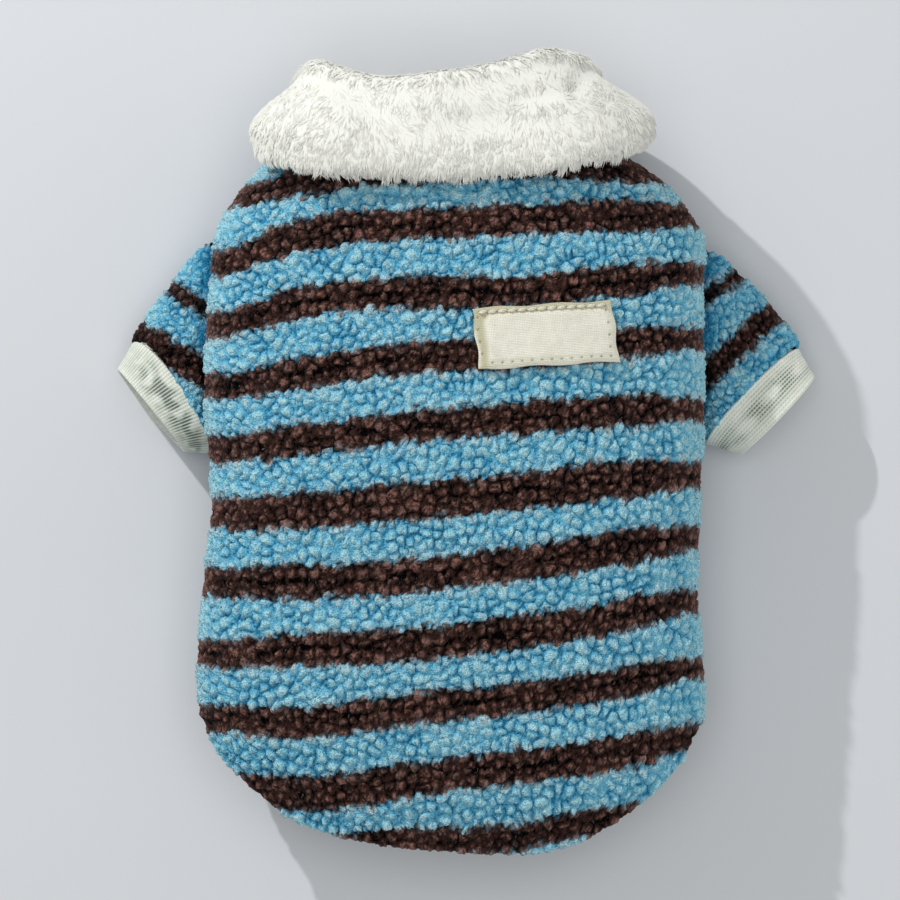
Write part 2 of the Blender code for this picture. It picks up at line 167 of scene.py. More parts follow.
# Fleece: knit backing, then clumps of curls with smaller curls on them.
BACKING = 1.4
PILE_ROOT = FLEECE - BACKING
CLUMP_SPACING = 3.8
CLUMP_SIZES = (0.74, 1.14)  # the smallest and the largest clump's share of that
CLUMP_PACKING = 0.8  # how much nearer they may stand
CLUMP_TRIES = 14000
CLUMP_HEIGHT = 2.1
CLUMP_HEIGHTS = (0.7, 1.0)  # the lowest and the highest clump's share of that
CLUMP_WANDER = 0.9  # how far the clumps' edges wander, and over what distance
CLUMP_WANDER_SIZE = 2.4
CLUMP_LEAN = 0.55
JOINED_SIZE = 7.0  # over what distance clumps run together and part again
JOINED_SHARE = 0.45
CURL_SPACING = 1.45
CURL_HEIGHT = 0.95
CURL_LEAN = 0.3
ROOT_SUNK = 0.3  # how deep the foot of the pile sits in its backing
BROWN_HEIGHT = 0.74  # brown pile stands lower than blue
COMBED = 0.6  # how far clumps are pressed together where the body's pile hangs down its sides
STRIPE_WANDER = 2.4  # how far the stripes' edges wander, over what distance, and from curl to curl
STRIPE_WANDER_SIZE = 4.5
STRIPE_CURL_WANDER = 1.2
STRIPE_SHARPNESS = 9.0
PARTING_WIDTH = 0.55  # furrow that shows here and there along the middle of a brown stripe
PARTING_WANDER = 3.2
PARTING_WANDER_SIZE = 17.0
PARTING_PATCH = 11.0
# Of these two, the first lowers the pile in the furrow and the second darkens its colour there, a painted
# shade.
PARTING_HEIGHT = 0.45  # how much lower and darker the pile is in it
PARTING_SHADE = 0.8
# Of the next three, the clump's is a tone that differs at random from clump to clump; the loops' and the
# fibres' darken the low places between them, a painted shade.
CLUMP_SHADE = (0.78, 0.88, 0.93)  # how dark the darkest clump, the space between loops and a fibre are
LOOP_SHADE = (0.54, 0.74, 0.82)
FIBRE_SHADE = (0.80, 0.85, 0.87)
# Colour by how high a point of the pile stands: painted shade, dark and saturated, low in the crevices, and
# painted highlight, pale, on the tips of the curls.
BLUE_BY_DEPTH = (
    (0.02, (0.006, 0.075, 0.17)),
    (0.18, (0.052, 0.33, 0.54)),
    (0.38, (0.26, 0.67, 0.86)),
    (0.70, (0.66, 0.96, 1.0)),
)
BROWN_BY_DEPTH = (
    (0.14, (0.0015, 0.0006, 0.0006)),
    (0.36, (0.068, 0.025, 0.018)),
    (0.80, (0.44, 0.18, 0.135)),
)
FROST = (0.74, 0.84, 0.87)  # tips of the curls where the colours meet
FROST_PLACE = 0.7  # how far outside the brown they are, and over what width
FROST_WIDTH = 1.25

# Brown stripes, from the neck down: the width, then the height of the middle at each of six places across.
STRIPE_X = (-80.0, -56.0, -22.0, 11.5, 45.5, 73.0)
STRIPE_COLUMNS = ("width",) + STRIPE_X
STRIPES = (
    (9.0, 87.0, 91.5, 95.0, 97.0, 97.0, 94.5),
    (11.5, 65.0, 73.8, 77.0, 78.5, 80.0, 81.0),
    (11.0, 43.8, 50.8, 54.0, 54.5, 57.5, 61.5),
    (11.2, 22.9, 27.0, 31.5, 33.5, 36.5, 39.0),
    (11.4, 1.5, 4.5, 8.5, 11.5, 14.0, 15.0),
    (13.2, -20.5, -19.5, -16.5, -13.5, -9.5, -7.5),
    (12.4, -44.0, -43.5, -41.5, -38.0, -33.0, -29.0),
    (12.0, -68.5, -66.5, -65.0, -61.0, -56.5, -50.5),
    (11.6, -91.0, -91.5, -87.0, -83.5, -79.0, -74.0),
    (12.6, -114.0, -116.0, -111.5, -107.0, -103.0, -97.5),
    (10.0, -142.0, -137.0, -132.5, -131.5, -125.5, -122.0),
)

# The body's stripes narrow down its flanks: from which X, over what distance and by what share.
FLANK_COLUMNS = ("from_x", "over", "narrower")
FLANKS = ((-62.0, -16.0, 0.14), (58.0, 16.0, 0.24))

# Brown stripes on each sleeve: two points of the middle line in plan, and the width.
SLEEVE_STRIPE_COLUMNS = ("x0", "y0", "x1", "y1", "width")
SLEEVE_STRIPES = {
    "left": (
        (-94.0, 77.6, -82.0, 70.0, 4.0),
        (-103.7, 58.5, -90.6, 50.2, 5.6),
        (-115.8, 42.3, -92.6, 30.9, 8.4),
        (-102.0, 34.0, -92.0, 28.3, 10.4),
    ),
    "right": (
        (84.0, 71.4, 95.7, 79.3, 3.6),
        (83.0, 54.0, 94.7, 61.9, 6.0),
        (84.4, 28.1, 106.8, 48.5, 9.0),
    ),
}


def named(columns, rows):
    """The rows of a table, each as a dictionary of its named columns."""
    return [dict(zip(columns, row)) for row in rows]


def column(rows, columns, name):
    return np.array([row[columns.index(name)] for row in rows], float)


def smooth(at, keys, values):
    """Values of a smooth curve through the table's points. Keys may run up or down."""
    if keys[0] > keys[-1]:
        keys, values = keys[::-1], values[::-1]
    at = np.clip(np.asarray(at, float), keys[0], keys[-1])
    slopes = np.gradient(values, keys)
    i = np.clip(np.searchsorted(keys, at) - 1, 0, len(keys) - 2)
    span = keys[i + 1] - keys[i]
    s = (at - keys[i]) / span
    return (
        (1 + 2 * s) * (1 - s) ** 2 * values[i]
        + s * (1 - s) ** 2 * span * slopes[i]
        + s * s * (3 - 2 * s) * values[i + 1]
        + s * s * (s - 1) * span * slopes[i + 1]
    )


def read_table(rows, columns, name, at):
    """A table's column as a smooth curve over its first column."""
    return smooth(at, column(rows, columns, columns[0]), column(rows, columns, name))


def ease(value):
    """0 below 0, 1 above 1, and a smooth step between."""
    value = np.clip(value, 0, 1)
    return value * value * (3 - 2 * value)


def dome(value):
    """A rounded shoulder: 0 at 0, rising steeply and levelling off at 1."""
    value = np.clip(value, 0, 1)
    return np.sqrt(1 - (1 - value) ** 2)


def bell(value):
    """1 at 0, falling off smoothly to both sides."""
    return np.exp(-(value**2))


def unit(vectors):
    """The same directions with a length of 1."""
    return vectors / np.maximum(np.linalg.norm(vectors, axis=-1, keepdims=True), 1e-9)


def even_places(points, values, shares):
    """A value that is known at finely spaced points of a curve, read at shares of the curve's length."""
    length = np.concatenate([[0], np.cumsum(np.linalg.norm(np.diff(points, axis=0), axis=1))])
    return np.interp(shares * length[-1], length, values)


def body_size(name, y):
    size = read_table(BODY_SECTIONS, BODY_COLUMNS, name, y)
    return np.maximum(size, 0) if name == "bottom" else size


def rounded(value, roundness):
    return np.sign(value) * np.abs(value) ** (2 / roundness)


def trough(x, y, row, squareness):
    """Depth of a soft trough at a place in plan."""
    turn = math.radians(row["degrees"])
    dx, dy = x - row["x"], y - row["y"]
    along = dx * math.cos(turn) + dy * math.sin(turn)
    across = dy * math.cos(turn) - dx * math.sin(turn)
    return row["depth"] * np.exp(-((2 * along / row["length"]) ** squareness) - (across / row["width"]) ** 2)


def fold_depth(x, y):
    return sum(trough(x, y, fold, 4) for fold in named(FOLD_COLUMNS, FOLDS))


def body_point(y, angle):
    """Points of the body's outer surface. The angle starts at the right side and goes over the top."""
    y, angle = np.broadcast_arrays(np.asarray(y, float), np.asarray(angle, float))
    left, right = body_size("left", y), body_size("right", y)
    bottom, side, top = (body_size(name, y) for name in ("bottom", "side", "top"))
    up = np.sin(angle) >= 0
    roundness = np.where(up, TOP_ROUNDNESS, BOTTOM_ROUNDNESS)
    x = (left + right) / 2 + (right - left) / 2 * rounded(np.cos(angle), roundness)
    height = rounded(np.sin(angle), roundness)
    over = side + (top - side) * height - fold_depth(x, y) * np.clip(height, 0, 1)
    under = np.maximum(side + (side - bottom) * (1 + PRESSED_SHARE) * height, bottom)
    return np.stack([x, y, np.where(up, over, under)], axis=-1)


def back_height(x, y):
    """Height of the back above a place in plan."""
    left, right = body_size("left", y), body_size("right", y)
    share = np.clip(np.abs(2 * x - left - right) / (right - left), 0, 1)
    height = (1 - share**TOP_ROUNDNESS) ** (1 / TOP_ROUNDNESS)
    side, top = body_size("side", y), body_size("top", y)
    return side + (top - side) * height - fold_depth(x, y) * height


def side_reach(side, y, z):
    """X of the body's lower side at a height below the widest line."""
    left, right = body_size("left", y), body_size("right", y)
    level, bottom = body_size("side", y), body_size("bottom", y)
    depth = np.clip((level - z) / ((level - bottom) * (1 + PRESSED_SHARE)), 0, 1)
    share = (1 - depth**BOTTOM_ROUNDNESS) ** (1 / BOTTOM_ROUNDNESS)
    return (left + right) / 2 + side * (right - left) / 2 * share


def hem_y(angle):
    across = rounded(np.cos(angle), TOP_ROUNDNESS)
    tail = read_table(TAIL, TAIL_COLUMNS, "y", across)
    side = TAIL[0][1]
    under = side + (BELLY_HEM_Y - side) * ease(-np.sin(angle))
    return np.where(np.sin(angle) >= 0, tail, under)


def even_angles(first, last, count, y=0.0):
    """Angles round the body whose points are evenly spaced."""
    fine = np.linspace(first, last, 4000)
    return even_places(body_point(y, fine), fine, np.linspace(0, 1, count))


# ---------------------------------------------------------------- meshes


def grid_faces(rows, columns, closed=False):
    """Quads of a grid of points. A closed grid joins its last column to its first."""
    i, j = np.meshgrid(
        np.arange(rows - 1), np.arange(columns if closed else columns - 1), indexing="ij"
    )
    a, b = i * columns + j, i * columns + (j + 1) % columns
    return np.stack([a, b, b + columns, a + columns], axis=-1).reshape(-1, 4)


def grid_normals(points, closed=False):
    """Unit normals of a grid of points whose faces are wound as grid_faces winds them."""
    if closed:
        across = (np.roll(points, -1, axis=1) - np.roll(points, 1, axis=1)) / 2
    else:
        across = np.gradient(points, axis=1)
    return unit(np.cross(across, np.gradient(points, axis=0)))


def edge_roll(end, normal, down, radius, turn, rows):
    """Rows that carry a cloth round its edge, and the ways that they face."""
    angles = np.linspace(0, turn, rows + 1)[1:]
    facing = [normal * math.cos(angle) + down * math.sin(angle) for angle in angles]
    return [end + (way - normal) * radius for way in facing], facing


def tree_of(places):
    tree = KDTree(len(places))
    for k, place in enumerate(places):
        tree.insert(place, k)
    tree.balance()
    return tree


def mesh_object(name, points, faces, material, numbers=None):
    """A smooth-shaded mesh from points in millimetres and faces with one number of corners."""
    points, faces = np.asarray(points, float), np.asarray(faces)
    used = np.unique(faces)
    places = np.full(len(points), -1)
    places[used] = np.arange(len(used))
    points, faces = points[used], places[faces]
    corners = faces.shape[1]
    mesh = bpy.data.meshes.new(name)
    mesh.vertices.add(len(points))
    mesh.vertices.foreach_set("co", (points * MM).astype(np.float32).ravel())
    mesh.loops.add(faces.size)
    mesh.loops.foreach_set("vertex_index", faces.astype(np.int32).ravel())
    mesh.polygons.add(len(faces))
    mesh.polygons.foreach_set("loop_start", np.arange(0, faces.size, corners, dtype=np.int32))
    mesh.update(calc_edges=True)
    mesh.polygons.foreach_set("use_smooth", np.ones(len(faces), bool))
    for key, values in (numbers or {}).items():
        attribute = mesh.attributes.new(key, "FLOAT", "POINT")
        attribute.data.foreach_set("value", np.asarray(values, np.float32).ravel()[used])
    mesh.validate()
    obj = bpy.data.objects.new(name, mesh)
    obj.data.materials.append(material)
    bpy.context.scene.collection.objects.link(obj)
    return obj


def wall_object(name, outer, inner, faces, material, numbers=None):
    """A closed wall between two matching sheets of points, rimmed along every open edge."""
    count = len(outer)
    edges = np.concatenate([faces[:, [k, (k + 1) % 4]] for k in range(4)])
    keys = np.sort(edges, axis=1)
    _, index, seen = np.unique(keys, axis=0, return_index=True, return_counts=True)
    open_edges = edges[index[seen == 1]]
    rim = np.stack(
        [open_edges[:, 1], open_edges[:, 0], open_edges[:, 0] + count, open_edges[:, 1] + count], axis=1
    )
    quads = np.concatenate([faces, faces[:, ::-1] + count, rim])
    points = np.concatenate([outer, inner])
    numbers = {key: np.concatenate([value, value]) for key, value in (numbers or {}).items()}
    return mesh_object(name, points, quads, material, numbers)


# ---------------------------------------------------------------- materials

WHITE = (1.0, 1.0, 1.0)
BACKING_BLUE = (0.16, 0.36, 0.50)
BACKING_BROWN = (0.085, 0.06, 0.055)
# Painted light: the plush is coloured lighter deep down, on its cloth and at the locks' roots, and darker at
# the tips, to even out the shade between the locks.
PLUSH_BY_DEPTH = ((0.0, (0.90, 0.90, 0.835)), (0.5, (0.86, 0.86, 0.80)), (1.0, (0.825, 0.825, 0.77)))
# Painted shade of the rib knit: dark in its grooves and between its rows of stitches, light on the ribs.
RIB_BY_DEPTH = (
    (0.0, (0.05, 0.07, 0.06)),
    (0.35, (0.19, 0.23, 0.20)),
    (0.7, (0.60, 0.64, 0.56)),
    (0.95, (0.97, 0.97, 0.89)),
)
TAPE_STOPS = ((0.3, (0.90, 0.88, 0.75)), (0.7, (0.98, 0.96, 0.85)))
THREAD_STOPS = ((0.3, (0.66, 0.63, 0.50)), (0.7, (0.84, 0.81, 0.69)))
THREADS = 560.0  # of the tape's weave, as the wave texture's scale
FINISHES = {
    "striped_fleece": {
        "Roughness": 0.92,
        "Specular IOR Level": 0.03,
        "Sheen Weight": 0.05,
        "Sheen Roughness": 0.4,
        "Sheen Tint": (0.62, 0.78, 0.85, 1.0),
    },
    "fleece_backing": {"Roughness": 0.9, "Sheen Weight": 0.2},
    "white_plush": {
        "Roughness": 0.85,
        "Specular IOR Level": 0.2,
        "Sheen Weight": 0.35,
        "Sheen Roughness": 0.5,
    },
    "cream_rib": {"Roughness": 0.8, "Sheen Weight": 0.2},
    "label_tape": {"Roughness": 0.75, "Sheen Weight": 0.15},
    "label_thread": {"Roughness": 0.6, "Sheen Weight": 0.2},
    "studio_floor": {
        "Base Color": (0.715, 0.735, 0.765, 1.0),
        "Roughness": 0.9,
        "Specular IOR Level": 0.1,
    },
}


class Finish:
    """A material that is built up a layer at a time. Textures lie in the object's own space, and their
    scales are in patches to a metre. Heights of bumps are in metres."""

    def __init__(self, name):
        self.material = bpy.data.materials.new(name)
        self.material.use_nodes = True
        self.nodes, self.links = self.material.node_tree.nodes, self.material.node_tree.links
        self.shader = self.nodes["Principled BSDF"]
        self.relief = None
        for socket, value in FINISHES[name].items():
            self.shader.inputs[socket].default_value = value

    def attribute(self, name):
        node = self.nodes.new("ShaderNodeAttribute")
        node.attribute_name = name
        return node.outputs["Fac"]

    def ramp(self, fac, stops):
        """A colour ramp with the given (position, colour) stops."""
        node = self.nodes.new("ShaderNodeValToRGB")
        node.color_ramp.interpolation = "EASE"
        elements = node.color_ramp.elements
        while len(elements) < len(stops):
            elements.new(0.5)
        for element, (position, colour) in zip(elements, stops):
            element.position = position
            element.color = (*colour, 1.0)
        self.links.new(fac, node.inputs["Fac"])
        return node.outputs["Color"]

    def mix(self, fac, first, second, blend="MIX"):
        node = self.nodes.new("ShaderNodeMix")
        node.data_type = "RGBA"
        node.blend_type = blend
        for socket, value in zip((node.inputs[0], node.inputs[6], node.inputs[7]), (fac, first, second)):
            if isinstance(value, bpy.types.NodeSocket):
                self.links.new(value, socket)
            elif isinstance(value, tuple):
                socket.default_value = (*value, 1.0)
            else:
                socket.default_value = value
        return node.outputs[2]

    def shade(self, base, fac, *stops):
        """The base darkened by a ramp."""
        return self.mix(1.0, base, self.ramp(fac, stops), "MULTIPLY")

    def texture(self, kind, vector, **inputs):
        node = self.nodes.new(kind)
        for socket, value in inputs.items():
            node.inputs[socket].default_value = value
        self.links.new(vector, node.inputs["Vector"])
        return node

    def own_space(self):
        return self.nodes.new("ShaderNodeTexCoord").outputs["Object"]

    def noise(self, scale, detail):
        return self.texture("ShaderNodeTexNoise", self.own_space(), Scale=scale, Detail=detail).outputs["Fac"]

    def cells(self, scale):
        return self.texture("ShaderNodeTexVoronoi", self.own_space(), Scale=scale).outputs["Distance"]

    def bump(self, height, distance, strength):
        """Relief, on top of what was there. A strength below 0 makes hollows of the heights."""
        node = self.nodes.new("ShaderNodeBump")
        node.invert = strength < 0
        node.inputs["Distance"].default_value = distance
        node.inputs["Strength"].default_value = abs(strength)
        self.links.new(height, node.inputs["Height"])
        if self.relief is not None:
            self.links.new(self.relief, node.inputs["Normal"])
        self.relief = node.outputs["Normal"]
        self.links.new(self.relief, self.shader.inputs["Normal"])

    def done(self, base):
        self.links.new(base, self.shader.inputs["Base Color"])
        return self.material


def fleece_material():
    """Curly pile. The attributes say how brown a point is, how high it stands and its clump's shade."""
    cloth = Finish("striped_fleece")
    depth = cloth.attribute("depth")
    blue, brown = cloth.ramp(depth, BLUE_BY_DEPTH), cloth.ramp(depth, BROWN_BY_DEPTH)
    base = cloth.mix(cloth.attribute("brown"), blue, brown)
    base = cloth.mix(cloth.attribute("frost"), base, FROST)
    base = cloth.shade(base, cloth.attribute("shade"), (0.0, CLUMP_SHADE), (1.0, WHITE))
    loops, fibre = cloth.cells(1350.0), cloth.noise(2600.0, 4.0)
    # Painted shade in the low places between the loops and between the fibres, which the bumps below also
    # sink.
    base = cloth.shade(base, loops, (0.1, WHITE), (0.8, LOOP_SHADE))
    base = cloth.shade(base, fibre, (0.32, FIBRE_SHADE), (0.6, WHITE))
    cloth.bump(loops, 0.0007, -0.9)
    cloth.bump(fibre, 0.0003, 0.7)
    return cloth.done(base)


def backing_material():
    """Flat knit on the back of the fleece, with the stripes showing through."""
    cloth = Finish("fleece_backing")
    base = cloth.mix(cloth.attribute("brown"), BACKING_BLUE, BACKING_BROWN)
    base = cloth.shade(base, cloth.noise(1400.0, 2.0), (0.3, (0.75, 0.75, 0.75)), (0.7, WHITE))
    cloth.bump(cloth.cells(1250.0), 0.0004, 0.8)
    return cloth.done(base)


def plush_material():
    cloth = Finish("white_plush")
    base = cloth.ramp(cloth.attribute("depth"), PLUSH_BY_DEPTH)
    base = cloth.shade(base, cloth.noise(160.0, 3.0), (0.3, (0.975, 0.98, 0.965)), (0.7, WHITE))
    cloth.bump(cloth.noise(1800.0, 3.0), 0.0003, 0.3)
    return cloth.done(base)


def rib_material():
    cloth = Finish("cream_rib")
    base = cloth.ramp(cloth.attribute("depth"), RIB_BY_DEPTH)
    base = cloth.shade(base, cloth.noise(900.0, 3.0), (0.3, (0.88, 0.90, 0.87)), (0.7, WHITE))
    cloth.bump(cloth.noise(3500.0, 2.0), 0.00015, 0.6)
    return cloth.done(base)


def label_material():
    """Woven tape: fine crossing threads along the tape's own directions."""
    cloth = Finish("label_tape")
    turn = cloth.texture("ShaderNodeMapping", cloth.own_space(), Rotation=(0.0, 0.0, -LABEL_TURN))
    threads = []
    for direction in ("X", "Y"):
        thread = cloth.texture(
            "ShaderNodeTexWave", turn.outputs["Vector"], Scale=THREADS, Distortion=0.6, Detail=1.0
        )
        thread.bands_direction = direction
        threads.append(thread.outputs["Fac"])
    weave = cloth.mix(0.5, *threads)
    base = cloth.ramp(cloth.noise(260.0, 4.0), TAPE_STOPS)
    # Painted shade in the low places between the threads, which the bump below also sinks.
    base = cloth.shade(base, weave, (0.2, (0.88, 0.87, 0.83)), (0.7, WHITE))
    # Painted shade, olive, where the tape is pulled down along its seams.
    base = cloth.mix(cloth.attribute("shade"), base, LABEL_SEAM_SHADE)
    # Painted shade in the needle holes.
    base = cloth.mix(cloth.attribute("hole"), base, LABEL_HOLE)
    cloth.bump(weave, 0.00025, 0.7)
    return cloth.done(base)


def thread_material():
    thread = Finish("label_thread")
    return thread.done(thread.ramp(thread.noise(2500.0, 2.0), THREAD_STOPS))


# ---------------------------------------------------------------- fleece


def scatter(points, areas, spacing, tries, sizes=(1.0, 1.0)):
    """Random points of a cloud, none nearer to another than the spacing times its own size."""
    order = random.choice(len(points), size=min(tries, len(points)), replace=False, p=areas / areas.sum())
    spacing = spacing * sizes[1]
    limits = (spacing * random.uniform(sizes[0] / sizes[1], 1.0, len(order))) ** 2
    cells, kept = {}, []
    for k, limit in zip(order, limits):
        p = points[k]
        cell = tuple((p // spacing).astype(int))
        near = [
            q
            for dx in (-1, 0, 1)
            for dy in (-1, 0, 1)
            for dz in (-1, 0, 1)
            for q in cells.get((cell[0] + dx, cell[1] + dy, cell[2] + dz), ())
        ]
        if near and min((q[0] - p[0]) ** 2 + (q[1] - p[1]) ** 2 + (q[2] - p[2]) ** 2 for q in near) < limit:
            continue
        cells.setdefault(cell, []).append(p)
        kept.append(k)
    return np.array(kept)


def point_areas(points):
    """Area that each point of a grid stands for."""
    return np.linalg.norm(np.cross(np.gradient(points, axis=1), np.gradient(points, axis=0)), axis=-1)


def body_stripes(x, y):
    """How far inside a brown stripe a place on the body is, and how far above that stripe's middle."""
    widths = column(STRIPES, STRIPE_COLUMNS, "width")[:, None] * np.ones(len(x))
    for flank in named(FLANK_COLUMNS, FLANKS):
        widths *= 1 - flank["narrower"] * ease((x - flank["from_x"]) / flank["over"])
    middles = np.stack([smooth(x, np.array(STRIPE_X), np.array(row[1:])) for row in STRIPES])
    offset = y[None, :] - middles
    inside = widths / 2 - np.abs(offset)
    nearest = inside.argmax(axis=0)
    each = np.arange(len(nearest))
    return inside[nearest, each], offset[nearest, each]


def sleeve_stripes(row, x, y):
    """The same for a sleeve."""
    best, offsets = np.full(len(x), -99.0), np.zeros(len(x))
    for line in named(SLEEVE_STRIPE_COLUMNS, SLEEVE_STRIPES[row["side"]]):
        along = unit(np.array([line["x1"] - line["x0"], line["y1"] - line["y0"]]))
        offset = (y - line["y0"]) * along[0] - (x - line["x0"]) * along[1]
        inside = line["width"] / 2 - np.abs(offset)
        offsets = np.where(inside > best, offset, offsets)
        best = np.maximum(best, inside)
    return best, offsets


def pile_cells(flat, wandered, centres):
    """For each point: its clump and how far inside it it lies, its curl's middle, and how far inside."""
    tree = tree_of(centres)
    owner, clump_gap = np.zeros(len(flat), int), np.zeros(len(flat))
    curl_gap, curl_reach, middle = np.zeros(len(flat)), np.zeros(len(flat)), np.zeros((len(flat), 3))
    for k, (place, moved) in enumerate(zip(flat.tolist(), wandered.tolist())):
        (_, first, near), (_, _, far) = tree.find_n(moved, 2)
        owner[k], clump_gap[k] = first, far - near
        reach, points = noise.voronoi([c / CURL_SPACING for c in place])
        curl_reach[k], curl_gap[k] = reach[0], reach[1] - reach[0]
        middle[k] = points[0]
    return owner, clump_gap, middle * CURL_SPACING, curl_reach, curl_gap


def soft_noise(flat, size, kind=noise.noise):
    """Soft random values from -1 to 1 that change over a distance of about the size."""
    return np.array([kind([c / size for c in place]) for place in flat.tolist()])


def patches(flat, size):
    """The same from 0 to 1."""
    return soft_noise(flat, size) * 0.5 + 0.5


def own_random(middle, salt):
    """A repeatable random number for each curl, from 0 to 1, from the place of its middle."""
    value = np.sin(middle @ np.array([12.9898, 78.233, 37.719]) + salt) * 43758.5453
    return value - np.floor(value)


def clump_rise(flat, normal, clump_gap, combed):
    """How high a point stands in its clump, from 0 to 1. combed is how far the clumps are pressed together
    where the pile hangs down the sides."""
    reach = clump_gap / (CLUMP_PACKING * CLUMP_SPACING)
    clump = 0.45 * dome(reach) + 0.55 * ease(reach)
    joined = 1 - JOINED_SHARE * (1 - ease(patches(flat, JOINED_SIZE) * 1.6 - 0.2))
    flank = combed * ease((0.78 - np.abs(normal[:, 2])) / 0.5)
    return 1 - (1 - clump) * joined * (1 - flank)


def brown_parting(flat, offset):
    """How far a point lies in the furrow along the middle of a brown stripe."""
    off = offset - PARTING_WANDER * (patches(flat, PARTING_WANDER_SIZE) - 0.5)
    return bell(off / PARTING_WIDTH) * ease(patches(flat + 50.0, PARTING_PATCH) * 2.4 - 0.6)


def pile_points(base, normals, full, stripes_of, combed, lit):
    """Curly pile on a grid of root points, and its material's numbers. full is how full the pile is at each
    point, and lit how light it is row by row."""
    flat, normal, full = base.reshape(-1, 3), normals.reshape(-1, 3), full.ravel()
    spacing = CLUMP_SPACING * CLUMP_PACKING
    picked = scatter(flat, point_areas(base).ravel(), spacing, CLUMP_TRIES, CLUMP_SIZES)
    wandered = flat + CLUMP_WANDER * soft_noise(flat, CLUMP_WANDER_SIZE, noise.noise_vector)
    owner, clump_gap, middle, curl_reach, curl_gap = pile_cells(flat, wandered, flat[picked])
    clump = clump_rise(flat, normal, clump_gap, combed)
    curl = dome(curl_gap / 0.5) * (1 - 0.5 * curl_reach**2)
    inside, offset = stripes_of(middle[:, 0], middle[:, 1])
    inside = inside + (own_random(middle, 1.0) - 0.5) * STRIPE_CURL_WANDER
    inside = inside + (patches(flat, STRIPE_WANDER_SIZE) - 0.5) * STRIPE_WANDER
    brown = 1 / (1 + np.exp(-np.clip(inside * STRIPE_SHARPNESS, -30, 30)))
    parting = brown_parting(flat, offset) * brown
    tall = random.uniform(*CLUMP_HEIGHTS, len(picked))[owner] * (1 - (1 - BROWN_HEIGHT) * brown)
    height = CLUMP_HEIGHT * tall * clump * (1 - 0.12 * brown)
    height += CURL_HEIGHT * curl * (0.35 + 0.65 * clump)
    height *= 1 - PARTING_HEIGHT * parting
    lean = random.normal(0, 1, (len(picked), 3))[owner] * (CLUMP_LEAN * clump**2)[:, None]
    own = np.stack([own_random(middle, salt) for salt in (2.0, 3.0, 4.0)], axis=1) - 0.5
    lean = lean + own * 2 * (CURL_LEAN * curl)[:, None]
    lean -= normal * (lean * normal).sum(axis=1, keepdims=True)
    moved = flat + normal * (height * full - ROOT_SUNK)[:, None] + lean * (full**2)[:, None]
    edge = bell((inside + FROST_PLACE) / FROST_WIDTH) * (0.35 + 0.65 * own_random(middle, 5.0))
    # Painted shade and highlight: below, a point is coloured darker the lower it stands in its curl and its
    # clump, darker again in a parting's furrow and where the pile thins, and darker along the sleeve rows
    # that lit sets.
    share = 0.42 + 0.06 * brown  # of the curls in how light a point is, and the rest is its clump's
    depth = (1 - share) * clump * tall + share * curl * (0.3 + 0.7 * clump)
    depth = np.clip(depth * (1 - PARTING_SHADE * parting), 0, 1)
    numbers = {
        "brown": brown,
        "frost": edge * (0.35 + 0.65 * curl) * ease(clump * 1.6 - 0.3),
        "depth": depth * (0.25 + 0.75 * full) * np.broadcast_to(lit, base.shape[:2]).ravel(),
        "shade": 0.6 * random.uniform(0, 1, len(picked))[owner] + 0.4 * own_random(middle, 6.0),
    }
    return moved, numbers


def armhole_place(points, row):
    """Where points lie from an armhole's middle, in its half sizes, and whether they are on its side."""
    dy = (points[..., 1] - row["hole_y"]) / row["hole_half"]
    dz = (points[..., 2] - ARMHOLE_Z) / ARMHOLE_HALF_HEIGHT
    return dy, dz, np.maximum(np.hypot(dy, dz), 1e-6), points[..., 0] * row["sign"] > 50


def armhole_distance(points):
    """Roughly how far outside the armholes points of the body are, in millimetres. Inside it is negative."""
    distance = np.full(points.shape[:-1], 1e3)
    for row in named(SLEEVE_COLUMNS, SLEEVES):
        dy, dz, radius, on_side = armhole_place(points, row)
        slope = np.hypot(dy / row["hole_half"], dz / ARMHOLE_HALF_HEIGHT) / radius
        away = (radius - 1) / np.maximum(slope, 1e-6)
        near = on_side & (points[..., 2] < 45)
        distance = np.where(near, np.minimum(distance, away), distance)
    return distance


def trim_armholes(points, reference):
    """Moves points that lie just inside an armhole out to its edge, in place."""
    for row in named(SLEEVE_COLUMNS, SLEEVES):
        dy, dz, radius, on_side = armhole_place(reference, row)
        out = np.where((radius < 1) & on_side, 1 / radius - 1, 0)
        points[..., 1] += dy * out * row["hole_half"]
        points[..., 2] += dz * out * ARMHOLE_HALF_HEIGHT


HEM_BACK = 2.6  # how far the cloth's own edge stands in from the hem, to leave room for its pile
HEM_TURNED = 9.0  # depth of the turned-in hem
HEM_ROWS = 10
TURNED_ROWS = 10


def body_base(first, last, rows, columns, depth):
    """Points of the body at a depth below its surface, from the neck to the hem, and their rows' share."""
    angles = even_angles(first, last, columns)
    share = np.linspace(0, 1, rows)
    share = share * (0.72 + 0.28 * share)
    end = hem_y(angles) + HEM_BACK
    y = NECK_Y + share[:, None] * (end[None, :] - NECK_Y)
    outer = body_point(y, np.broadcast_to(angles, y.shape))
    normals = grid_normals(outer)
    return outer - depth * normals, normals


def turned_hem(base, normals, radius):
    """A panel carried on round its hem and back up on the inside."""
    end, normal = base[-1], normals[-1]
    down = end - base[-4]
    down = unit(down - normal * (down * normal).sum(axis=1, keepdims=True))
    roll, facing = edge_roll(end, normal, down, radius, math.pi, HEM_ROWS)
    up = base[-20] - end
    steps = np.arange(1, TURNED_ROWS + 1) * HEM_TURNED / TURNED_ROWS
    reach = np.linalg.norm(up, axis=1, keepdims=True)
    inside = [end + up * np.clip(step / reach, 0, 1) - 2 * radius * normal for step in steps]
    return np.concatenate([base, roll, inside]), np.concatenate([normals, facing, [-normal] * TURNED_ROWS])


